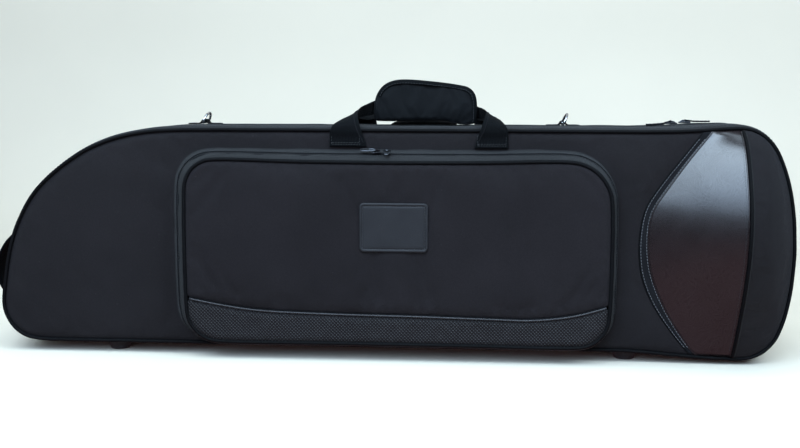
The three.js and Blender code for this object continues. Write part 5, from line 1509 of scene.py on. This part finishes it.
def pillow(B, y0, y1, gap, crown0, crown1, rings=(0.8, 1.8, 3.2, 5.0)):
    """A closed pad: outline B, back plane y0, front plane y1 (nearer to the viewer)."""
    P, T = flat_mesh(B, gap, rings=rings)
    d = edge_distance(P[:, 0], P[:, 1], B)
    nb = len(B)
    mid = (y0 + y1) / 2
    half = (y0 - y1) / 2
    prof = lambda dd, c: half * np.sqrt(np.clip(1 - (1 - np.clip(dd / 4.0, 0, 1)) ** 2, 0, 1)) + c * (1 - np.exp(-dd / 12))
    front = np.stack([P[:, 0], mid - prof(d, crown1), P[:, 1]], 1)
    back = np.stack([P[:, 0], mid + prof(d, crown0), P[:, 1]], 1)
    # the outline is shared
    isb = d < 1e-3
    n = len(P)
    idb = np.arange(n) + n
    idb[isb] = np.arange(n)[isb]
    V = np.concatenate([front, back])
    F = np.concatenate([T, idb[T[:, ::-1]]])
    used = np.unique(F)
    ren = np.full(2 * n, -1)
    ren[used] = np.arange(len(used))
    return V[used], [ren[F]], np.concatenate([d, d])[used], np.concatenate([P, P])[used]


def grip():
    G = spaced(crom(GRIP, True, per=10), 200, True)
    G[:, 1] -= 2.4 * np.clip((286 - G[:, 1]) / 6, 0, 1) * np.clip((95 - G[:, 0]) / 40, 0, 1)
    GN = normal_2d(G)
    # front flap of the wrap
    Bf = G + GN * -0.7
    V, F, d, P = pillow(Bf, -9.5, -14.3, 3.4, 0.0, 0.9)
    o = put("grip_flap_cover", V, F, "wrap_flap", GRIP_CLOTH, P, closed=True)
    back = V[:, 1] > -11.9
    inflate(o, (d < 1.0) | (back & (d > 6)), pressure=4.0, grow=0.03, cap=3.0, frames=18, bend=0.3)
    V = coords_of(o)
    V[:, 1] = np.clip(V[:, 1], -19.0, -9.2)
    V[:, 1] += np.where(V[:, 1] < -11.9, 1, 0.0) * 4.2 * np.clip((292 - V[:, 2]) / 17, 0, 1) ** 1.6
    move_to(o, V)
    m = o.modifiers.new("smooth", "SUBSURF")
    m.levels = m.render_levels = 1
    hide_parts("grip_flap")
    # dark binding over the flap's top and both sides
    edge = clip_run(G, ((G[:, 1] > 283) & (G[:, 0] > 60)) | (G[:, 1] > 306) | (G[:, 0] > 99))
    EN = normal_2d(edge, False)
    if (EN[:, 0] * (edge[:, 0] - 40)).sum() < 0:
        EN = -EN
    sec = smooth_section([(-4.6, -15.9), (-2.6, -15.75), (-0.6, -15.0), (0.75, -13.6), (1.1, -12.0), (0.75, -10.4), (-0.4, -9.45), (-2.8, -9.3)], 17)
    rows = [np.stack([edge[:, 0] + EN[:, 0] * off, np.full(len(edge), y), edge[:, 1] + EN[:, 1] * off], 1) for off, y in sec]
    V = np.stack(rows, 1)
    t = length_along(np.array(sec))
    s = length_along(edge)
    cl = np.stack([np.broadcast_to(t[None], V.shape[:2]), np.broadcast_to(s[:, None], V.shape[:2])], -1)
    o = put("grip_flap_binding", V.reshape(-1, 3), [quads(*V.shape[:2])], "wrap_flap", WEB, cl.reshape(-1, 2), 0.8, "round")
    sheet(o, float(t[-1]), float(s[-1]))
    line = np.stack([edge[:, 0] - EN[:, 0] * 3.3, np.full(len(edge), -16.0), edge[:, 1] - EN[:, 1] * 3.3], 1)
    stitches("grip_flap_stitching", [(line, (0, -1, 0))], "wrap_flap", THREAD_DARK, long=2.3, gap=1.0, r=0.28)
    # back part of the wrap: a padded loop round the strap
    body = "front_handle"
    Bp = G + GN * -0.6
    Bp[:, 0] -= 2.6 * np.clip((4 - Bp[:, 0]) / 10, 0, 1)
    V, F, d, P = pillow(Bp, 11.0, 7.4, 3.6, 0.6, 0.0)
    o = put("grip_back_pad", V, F, body, GRIP_CLOTH, P, closed=True)
    inflate(o, (d < 1.0) | ((V[:, 1] < 9.2) & (d > 5)), pressure=3.5, grow=0.02, cap=2.0, frames=16, bend=0.3)
    V = coords_of(o)
    V[:, 1] = np.clip(V[:, 1], 7.3, 13.2)
    move_to(o, V)
    V, F, d, P = pillow(Bp, -4.3, -8.7, 3.6, 0.0, 0.0)
    o2 = put("grip_front_pad", V, F, body, GRIP_CLOTH, P, closed=True)
    inflate(o2, (d < 1.0) | (d > 6), pressure=3.0, grow=0.01, cap=1.0, frames=10, bend=0.3)
    # the roll over the top that joins them
    top = clip_run(G, (G[:, 1] > 300))
    TN = normal_2d(top, False)
    if (TN[:, 1]).sum() < 0:
        TN = -TN
    sec = smooth_section([(-5.5, -8.75), (-2.6, -8.8), (-0.6, -8.0), (0.5, -5.6), (0.95, -2.0), (1.05, 1.4), (0.9, 5.2), (0.3, 8.6), (-0.8, 10.9), (-2.8, 11.9), (-5.5, 12.0)], 31)
    rows = []
    for off, y in sec:
        w = 0.25 * wob(length_along(top), np.full(len(top), y), 22, 9)
        rows.append(np.stack([top[:, 0] + TN[:, 0] * (off + w), np.full(len(top), y), top[:, 1] + TN[:, 1] * (off + w)], 1))
    V = np.stack(rows, 1)
    t = length_along(np.array(sec))
    s = length_along(top)
    cl = np.stack([np.broadcast_to(t[None], V.shape[:2]), np.broadcast_to(s[:, None], V.shape[:2])], -1)
    o3 = put("grip_top_roll", V.reshape(-1, 3), [quads(*V.shape[:2])], body, GRIP_CLOTH, cl.reshape(-1, 2), 1.4, (0, 0, 1))
    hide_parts("grip_pad")
    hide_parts("grip_pad")
    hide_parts("grip_pad")


def top_pad():
    pts = np.array([(-4, 271.6), (-3.0, 273.4), (6, 275.8), (22, 277.8), (40, 278.7), (54, 278), (68, 276), (77.0, 273.6), (78, 271.6)], float)
    prof = spaced(crom(pts, per=10), 60)
    v = np.linspace(-1, 1, 25)
    fall = 1 - np.abs(v) ** 5
    X = np.broadcast_to(prof[:, :1], (60, 25))
    Z = 271.5 + (prof[:, 1:] - 271.5) * (0.25 + 0.75 * fall)[None] + 0.15 * wob(X, np.broadcast_to(v * 14, (60, 25)), 12, 3) * fall[None]
    Y = np.broadcast_to((38.25 + 13.6 * np.sign(v) * np.abs(v) ** 0.9)[None], (60, 25))
    top = np.stack([X, Y, Z], -1)
    bot = top.copy()
    bot[..., 2] = 271.35
    V = np.concatenate([top.reshape(-1, 3), bot.reshape(-1, 3)])
    q = quads(60, 25)
    n = 60 * 25
    idx = np.arange(n).reshape(60, 25)
    ring = np.concatenate([idx[:, 0], idx[-1, 1:], idx[-2::-1, -1], idx[0, -2:0:-1]])
    nx = np.roll(ring, -1)
    side = np.stack([ring, nx, nx + n, ring + n], 1)
    o = put("top_pad_cover", V, [q, q[:, ::-1] + n, side], "rear_half", GRIP_CLOTH, V[:, :2], closed=True)
    inflate(o, V[:, 2] < 272.4, pressure=3.0, grow=0.02, cap=1.0, frames=14, bend=0.3)
    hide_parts("top_pad")
    e = np.stack([np.concatenate([[-1, 76, 76, -1, -1]]), np.concatenate([[26, 26, 50.5, 50.5, 26]])], 1).astype(float)
    e = spaced(e, 80)
    zz = 271.5 + (np.interp(e[:, 0], prof[:, 0], prof[:, 1]) - 271.5) * 0.62 + 0.3
    stitches("top_pad_stitching", [(np.stack([e[:, 0], e[:, 1], zz], 1), (0, 0, 1))], "rear_half", THREAD_DARK, long=2.2, gap=1.0, r=0.26)


def rings():
    loop = np.array([[0, -12, 0], [0, -6, 0], [0, 0, 0], [0, 6, 0], [0, 12, 0], [0, 13.2, 2.2], [0, 12.6, 6], [0, 9.6, 9.6], [0, 5.2, 12], [0, 0, 12.8], [0, -5.2, 12], [0, -9.6, 9.6], [0, -12.6, 6], [0, -13.2, 2.2]])
    for side, x in (("left", -243.5), ("right", 210.0)):
        q = spaced(crom(loop, True, per=8), 110, True)
        c, s = math.cos(0.42), math.sin(0.42)
        q = np.stack([q[:, 0] * c + q[:, 2] * s + x, q[:, 1] + 41, -q[:, 0] * s + q[:, 2] * c + 273.65], 1)
        o = tube("d_ring_%s_wire" % side, q, 1.5, "ring_" + side, CHROME, closed=True, sides=14)
        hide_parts("d_ring_" + side)
        # webbing loop over the straight side of the ring
        z = 271.6
        a = np.linspace(math.pi, 0, 13)
        line = [(x - 20, z + 0.35), (x - 14, z + 0.4), (x - 8, z + 0.6), (x - 5, z + 1.1)] + [(x + 3.15 * math.cos(t), z + 2.3 + 3.15 * math.sin(t)) for t in a[1:-1]] + [(x + 5, z + 1.1), (x + 8, z + 0.6), (x + 14, z + 0.4), (x + 20, z + 0.35)]
        line = spaced(crom(line, per=6), 90)
        tn = unit(np.gradient(line, axis=0))
        C = np.stack([line[:, 0], np.full(90, 41.0), line[:, 1]], 1)
        T = np.stack([-tn[:, 1], np.zeros(90), tn[:, 0]], 1) * 0.72
        W = np.broadcast_to(np.array([0, 9.0, 0]), C.shape)
        o = ribbon("d_ring_tab_%s_webbing" % side, C, W, T, "rear_half", WEB)
        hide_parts("d_ring_tab_" + side)
        runs = []
        for sg in (-1, 1):
            bx = np.array([(sg * 7.5, -7.2), (sg * 18, -7.2), (sg * 18, 7.2), (sg * 7.5, 7.2), (sg * 7.5, -7.2)], float)
            bx = spaced(bx, 40)
            runs.append((np.stack([x + bx[:, 0], 41 + bx[:, 1], np.full(40, z + 1.2)], 1), (0, 0, 1)))
            for q0, q1 in (((sg * 7.5, -7.2), (sg * 18, 7.2)), ((sg * 7.5, 7.2), (sg * 18, -7.2))):
                runs.append((np.array([(x + q0[0], 41 + q0[1], z + 1.2), (x + q1[0], 41 + q1[1], z + 1.2)]), (0, 0, 1)))
        stitches("d_ring_tab_%s_stitching" % side, runs, "rear_half", THREAD, long=1.9, gap=0.8, r=0.26)


def end_handle():
    y = -28.0
    rows = []
    for x, z, w, nx, nz in ((-475.5, 57.5, 5.5, -0.6, -0.8), (-483, 66, 9, -0.75, -0.66), (-489.5, 79, 12, -0.94, -0.34), (-491.3, 95, 12.5, -1, 0.05), (-488, 111, 12.3, -0.94, 0.34), (-478.5, 126, 9, -0.8, 0.6), (-466.5, 137, 5.5, -0.64, 0.77)):
        rows.append(([x, y, z], [0, w, 0], [nx * 1.2, 0, nz * 1.2]))
    C, W, T = strap_rows(rows, 90)
    C[:, 0] += 4.6 * np.sin(np.linspace(0, 1, 90) * math.pi) ** 1.2
    T = unit(T) * 1.2
    o = ribbon("end_handle_webbing", C, W, T, "side_handle", WEB)
    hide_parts("end_handle")
    runs = []
    for f in (-0.78, 0.78):
        runs.append(((C + W * f + T * 1.1)[4:-4], T[4:-4]))
    stitches("end_handle_stitching", runs, "side_handle", THREAD, long=2.3, gap=1.0, r=0.28)
    for nm, i0, i1 in (("upper", 53.1, 53.9), ("lower", 58.1, 58.9)):
        def at(f):
            i = int(f)
            t = f - i
            a, b = np.array(OUTLINE[i], float), np.array(OUTLINE[i + 1], float)
            return a + (b - a) * t
        k0, k1 = nearest(*at(i0)), nearest(*at(i1))
        idx = np.arange(k0, k1 + 1)
        ctr = rim(5.75, y, idx)
        n3 = np.stack([ON[idx, 0], np.zeros(len(idx)), ON[idx, 1]], 1)
        o = ribbon("end_handle_tab_%s_webbing" % nm, ctr, np.broadcast_to(np.array([0, 12.3, 0]), ctr.shape), n3 * 0.95, "front_half", WEB)
        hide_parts("end_handle_tab_" + nm)
        a, b = ctr[1] + n3[1] * 1.1, ctr[-2] + n3[-2] * 1.1
        runs = []
        for p, q in ((a + [0, -10, 0], b + [0, -10, 0]), (a + [0, 10, 0], b + [0, 10, 0]), (a + [0, -10, 0], a + [0, 10, 0]), (b + [0, -10, 0], b + [0, 10, 0]), (a + [0, -10, 0], b + [0, 10, 0]), (a + [0, 10, 0], b + [0, -10, 0])):
            runs.append((np.array([p, q]), n3[len(n3) // 2]))
        stitches("end_handle_tab_%s_stitching" % nm, runs, "front_half", THREAD, long=1.9, gap=0.8, r=0.26)


def feet():
    prof = [(0.0, 0.35), (4.0, 0.35), (4.4, 0.2), (5.0, 0.0), (10.8, 0.0), (11.6, 0.25), (12.0, 0.9), (12.25, 2.0), (12.6, 3.4), (12.35, 3.7), (12.45, 4.2), (12.9, 4.5), (13.4, 6.4), (13.8, 8.0), (14.0, 8.6), (14.0, 9.6), (13.2, 10.0), (0.0, 10.0)]
    for name, x, y, body in (("foot_front_bell", 279, -50, "front_half"), ("foot_front_slide", -330, -50, "front_half"), ("foot_rear_bell", 279, 84, "rear_half"), ("foot_rear_slide", -330, 84, "rear_half")):
        n, m = len(prof), 40
        a = np.arange(m) * 2 * math.pi / m
        V = np.array([[x + r * math.cos(t), y + r * math.sin(t), z] for r, z in prof[1:-1] for t in a])
        V = np.concatenate([V, [[x, y, prof[0][1]], [x, y, prof[-1][1]]]])
        k = n - 2
        q = quads(k, m, False, True)
        i = np.arange(m)
        caps = [np.stack([(i + 1) % m, i, np.full(m, k * m)], 1), np.stack([i + (k - 1) * m, (i + 1) % m + (k - 1) * m, np.full(m, k * m + 1)], 1)]
        o = put(name + "_rubber", V, [q] + caps, body, RUBBER, None, closed=True)
        o.data.set_sharp_from_angle(angle=math.radians(50))
        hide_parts(name)


# ------------------------------------------------------------------ the fitted inside


def foam(node, body, voxel, rounds, amp=0.35, seed=1):
    """A foam piece under plush: the CAD form with its edges softened and its faces slightly uneven."""
    src = bpy.data.objects[node]
    me = src.data.copy()
    me.transform(src.matrix_world)
    me.materials.clear()
    bm = bmesh.new()
    bm.from_mesh(me)
    bmesh.ops.remove_doubles(bm, verts=bm.verts, dist=2e-5)
    bm.to_mesh(me)
    bm.free()
    o = bpy.data.objects.new(node + "_plush", me)
    bpy.context.scene.collection.objects.link(o)
    r = o.modifiers.new("even", "REMESH")
    r.mode = "VOXEL"
    r.voxel_size = voxel * 1.0 / 1000
    s = o.modifiers.new("soften", "SMOOTH")
    s.factor, s.iterations = 0.5, max(2, rounds // (1))
    dg = bpy.context.evaluated_depsgraph_get()
    new = bpy.data.meshes.new_from_object(o.evaluated_get(dg))
    o.modifiers.clear()
    o.data = new
    new.name = o.name
    n = len(new.vertices)
    V, N = np.empty(n * 3), np.empty(n * 3)
    new.vertices.foreach_get("co", V)
    new.vertices.foreach_get("normal", N)
    V, N = V.reshape(-1, 3), N.reshape(-1, 3)
    q = V * 1000
    w = wob(q[:, 0] + 0.7 * q[:, 1], q[:, 2] - 0.4 * q[:, 1], 34, seed) + 0.4 * wob(q[:, 2], q[:, 0] + q[:, 1], 13, seed + 5)
    V = V + N * ((-0.5 + 0.5 * np.clip(w, -1, 1)) * amp / 1000)[:, None]
    new.vertices.foreach_set("co", V.ravel())
    new.materials.append(FOAM_PLUSH)
    new.shade_smooth()
    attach(o, body)
    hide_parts(node)
    return o


def end_arc(f, off):
    """Points of the outline round the bell end, from under the rim seam to above it."""
    a, b = nearest(RIM_X, 7.0), nearest(RIM_X, 270.8)
    i = a + np.asarray(f) * (b - a)
    lo = np.floor(i).astype(int)
    t = (i - lo)[..., None]
    lo = np.clip(lo, 0, NO - 2)
    P = (OUT[lo] + ON[lo] * off) * (1 - t) + (OUT[lo + 1] + ON[lo + 1] * off) * t
    return P


def wall_lining(half, body, y0, y1, y2, fy):
    """The plush band on the inner wall, rolled over at its free edge."""
    k = np.arange(0, NO, 2)
    s = OS[k]
    sec = smooth_section([(-6.1, y0), (-6.1, y1), (-6.2, y2 - 5), (-6.15, y2 - 1.6), (-5.6, y2 - 0.7), (-4.6, y2 - 0.55), (-3.8, y2 - 0.8), (-3.6, y2 - 4)], 26)
    rows = []
    for off, y in sec:
        calm = min(1.0, abs(y - y2) / 8)
        rows.append(rim(off - (0.35 + 0.35 * wob(s, s * 0 + y, 55, 21)) * calm, fy(y), k))
    V = np.stack(rows, 1)
    n, m = V.shape[:2]
    o = put(half + "_lining_wall", V.reshape(-1, 3), [quads(n, m, True, False)], body, PLUSH, None, 0, None)
    # the pile faces inwards
    me = o.data
    nn = np.zeros(len(me.polygons) * 3)
    me.polygons.foreach_get("normal", nn)
    c = np.zeros(len(me.polygons) * 3)
    me.polygons.foreach_get("center", c)
    nn, c = nn.reshape(-1, 3), c.reshape(-1, 3)
    d = c - c.mean(0)
    d[:, 1] = 0
    if (nn * d).sum() > 0:
        me.flip_normals()
    thicken(o, 0.7)
    L = float(np.linalg.norm(np.diff(V[:, 3], axis=0), axis=1).sum())
    sheet(o, float(length_along(np.array(sec))[-1]), L, held="stretched")
    return o


def edge_tape(half, body, y):
    """Bound edge over the rim of the rigid pan, with one row of stitching."""
    sg = 1 if half == "front" else -1
    sec = smooth_section([(-3.4, y - 0.5 * sg), (-3.2, y), (-1.5, y + 0.05 * sg), (0.6, y + 0.05 * sg), (2.7, y)], 10)
    V = np.stack([rim(a, b) for a, b in sec], 1)
    n, m = V.shape[:2]
    cl = np.stack([np.broadcast_to(OS[:, None], (n, m)), np.broadcast_to(length_along(np.array(sec))[None], (n, m))], -1)
    put(half + "_rim_tape", V.reshape(-1, 3), [quads(n, m, True, False)], body, BINDING, cl.reshape(-1, 2), 0.25, (0, sg, 0))
    line = rim(1.3, y + 0.1 * sg)
    stitches(half + "_rim_stitching", [(np.concatenate([line, line[:1]]), np.tile([0.0, float(sg), 0.0], (NO + 1, 1)))], body, THREAD_DARK, long=2.6, gap=1.4, r=0.14)


def linings():
    B = (OUT + ON * -6.1)[::3]
    # rear floor: flat, behind the foam
    P, T = flat_mesh(B, 14, rings=(3.0, 7.0))
    back = mirrored(-64.9)
    V = np.stack([P[:, 0], back - 0.15 - 0.15 * wob(P[:, 0], P[:, 1], 60, 31), P[:, 1]], 1)
    o = put("rear_lining_floor", V, [T], "rear_half", PLUSH, P, 0.8, (0, -1, 0))
    sheet(o, 257, 919, area=area_of(o), held="stretched")
    wall_lining("rear", "rear_half", 2 * PART_Y - back, 2 * PART_Y - mirrored(-45), 13.6, lambda y: 2 * PART_Y - y)
    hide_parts("rear_lining")
    # front floor left of the bell recess, and the recess itself
    zb0, zt0 = 20.0, 261.0
    rows = np.linspace(0, 1, 74)
    U1, U2 = np.linspace(0, 1, 26), np.linspace(0, 1, 22)
    zs = zb0 + rows * (zt0 - zb0)
    inner = OUT + ON * -6.1
    i_low, i_up = np.arange(nearest(262, 14.2), nearest(RIM_X, 7.0) + 1), np.arange(nearest(RIM_X, 270.8), nearest(262, 266.8) + 1)
    G = []
    for k, v in enumerate(rows):
        x0 = seam(np.array([zs[k]]))[0] + 3.2
        x1 = x0 + (RIM_X - x0) * U1
        lo = np.interp(x1, inner[i_low, 0], inner[i_low, 1])
        up = np.interp(x1, inner[i_up[::-1], 0], inner[i_up[::-1], 1])
        z1 = lo + v * (up - lo)
        h1 = bulge(z1) * U1
        a = end_arc(np.array([v]), -9.6)[0]
        e = end_arc(np.array([v]), -6.1)[0]
        u = U2[1:]
        x2 = RIM_X + (a[0] - RIM_X) * u
        z2 = z1[-1] + (a[1] - z1[-1]) * (u * u * 0.6 + u * 0.4)
        h2 = bulge(np.full(len(u), z1[-1])) * (1 - u ** 1.9)
        x = np.concatenate([x1, x2, [e[0]]])
        z = np.concatenate([z1, z2, [e[1]]])
        h = np.concatenate([h1, h2, [0]])
        y = np.minimum(-64.9, -64.1 - h)
        G.append(np.stack([x, y, z], 1))
    G = np.array(G)
    n, m = G.shape[:2]
    q = G.reshape(-1, 3).copy()
    q[:, 1] += 0.25 + 0.25 * wob(q[:, 0], q[:, 2], 40, 33)
    r = put("front_lining_bell_recess", q, [quads(n, m, False, False)], "front_half", PLUSH, q[:, [0, 2]], 0.8, (0, 1, 0))
    sheet(r, 285, 215, area=min(area_of(r), 285 * 214.0), held="stretched")
    edge = G[:, 0][:, [0, 2]]
    sx = seam(inner[:, 1]) + 3.2
    left = np.where(inner[:, 0] < sx)[0]
    # the left part of the inner outline, ordered from the top seam round to the bottom seam
    start = next(i for i in range(NO) if inner[i, 0] < sx[i] and inner[i - 1, 0] >= sx[i - 1])
    loop = [(start + j) % NO for j in range(len(left))]
    poly = np.concatenate([inner[loop][1:-1:3], edge])
    P, T = flat_mesh(poly, 9, rings=(3.0, 7.0))
    V = np.stack([P[:, 0], -64.9 + 0.25 + 0.25 * wob(P[:, 0], P[:, 1], 60, 32), P[:, 1]], 1)
    f = put("front_lining_floor", V, [T], "front_half", PLUSH, P, 0.8, (0, 1, 0))
    sheet(f, 257, 790, area=area_of(f), held="stretched")
    wall_lining("front", "front_half", -64.9, -45, 13.6, lambda y: y)
    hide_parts("front_lining")
    for half, body, y in (("front", "front_half", 14.66), ("rear", "rear_half", 15.34)):
        edge_tape(half, body, y)
    for nm in ("front_shell", "rear_shell"):
        ob = bpy.data.objects[nm]
        ob.data.materials.clear()
        ob.data.materials.append(BOARD)


def tie(node, body, x, y, z0, z1, half, fixed_low=True):
    """A touch-tape strap lying across its saddle: webbing, a sewn end and a patch of hook tape."""
    n = 60
    t = np.linspace(0, 1, n)
    z = z0 + (z1 - z0) * t
    f = t if fixed_low else 1 - t
    lift = 0.35 * np.sin(t * math.pi) + 0.12 * np.sin(t * 19)
    C = np.stack([np.full(n, x) + 0.25 * np.sin(t * 7), y - 0.1 * lift, z], 1)
    w = half * (1 - 0.16 * np.clip((f - 0.93) / 0.07, 0, 1) ** 2)
    W = np.stack([w, 0.1 * np.sin(t * 9), 0 * t], 1)
    T = np.stack([0 * t, 0.82 + 0.0 * t, 0.05 * np.cos(t * 19)], 1)
    o = ribbon(node + "_webbing", C, W, T, body, WEB)
    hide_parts(node)
    # hook tape on the free end, seen from the front, and the sewn box at the fixed end
    a, b = (0.60, 0.95) if fixed_low else (0.40, 0.05)
    tt = np.linspace(min(a, b), max(a, b), 14)
    zz = z0 + (z1 - z0) * tt
    C2 = np.stack([np.full(14, x), np.full(14, y - 1.0), zz], 1)
    ribbon(node + "_hook_tape", C2, np.stack([np.full(14, half - 2.0), 0 * tt, 0 * tt], 1), np.stack([0 * tt, np.full(14, 0.3), 0 * tt], 1), body, LOOP)
    lo, hi = (z0 + 2.0, z0 + 13.0) if fixed_low else (z1 - 13.0, z1 - 2.0)
    hw = half - 2.2
    box_path = [np.linspace(p, r, 24) for p, r in (
        ((x - hw, y - 0.95, lo), (x + hw, y - 0.95, lo)), ((x + hw, y - 0.95, lo), (x + hw, y - 0.95, hi)),
        ((x + hw, y - 0.95, hi), (x - hw, y - 0.95, hi)), ((x - hw, y - 0.95, hi), (x - hw, y - 0.95, lo)),
        ((x - hw, y - 0.95, lo), (x + hw, y - 0.95, hi)), ((x + hw, y - 0.95, lo), (x - hw, y - 0.95, hi)))]
    stitches(node + "_stitching", [(p, np.tile([0.0, -1.0, 0.0], (len(p), 1))) for p in box_path], body, THREAD, long=2.2, gap=1.1, r=0.26)


def inside():
    linings()
    foam("slide_bed", "rear_half", 2.6, 7, amp=0.5, seed=41)
    foam("bell_cradle", "rear_half", 2.0, 8, amp=0.5, seed=42)
    for k, nm in enumerate(("saddle_upper", "saddle_lower", "saddle_neck")):
        foam(nm, "rear_half", 1.3, 8, amp=0.35, seed=43 + k)
    foam("mouthpiece_block", "rear_half", 1.3, 7, amp=0.3, seed=47)
    foam("accessory_divider", "rear_half", 0.9, 5, amp=0.25, seed=48)
    tie("saddle_strap_upper", "tie_upper", -275, BELL_Y - 1.3, 196, 240, 12, False)
    tie("saddle_strap_lower", "tie_lower", -275, BELL_Y - 1.3, 24, 68, 12, True)
    tie("saddle_strap_neck", "tie_neck", -22, BELL_Y - 1.3, 196, 240, 12, False)
    tie("slide_strap_left", "tie_slide_left", -149.5, 64.7, 66, 196, 12.5, False)
    tie("slide_strap_right", "tie_slide_right", 149.5, 64.7, 66, 196, 12.5, False)


camera()
stage()
covers()
front_face()
flare()
pocket()
sliders()
straps()
grip()
top_pad()
rings()
end_handle()
feet()
inside()
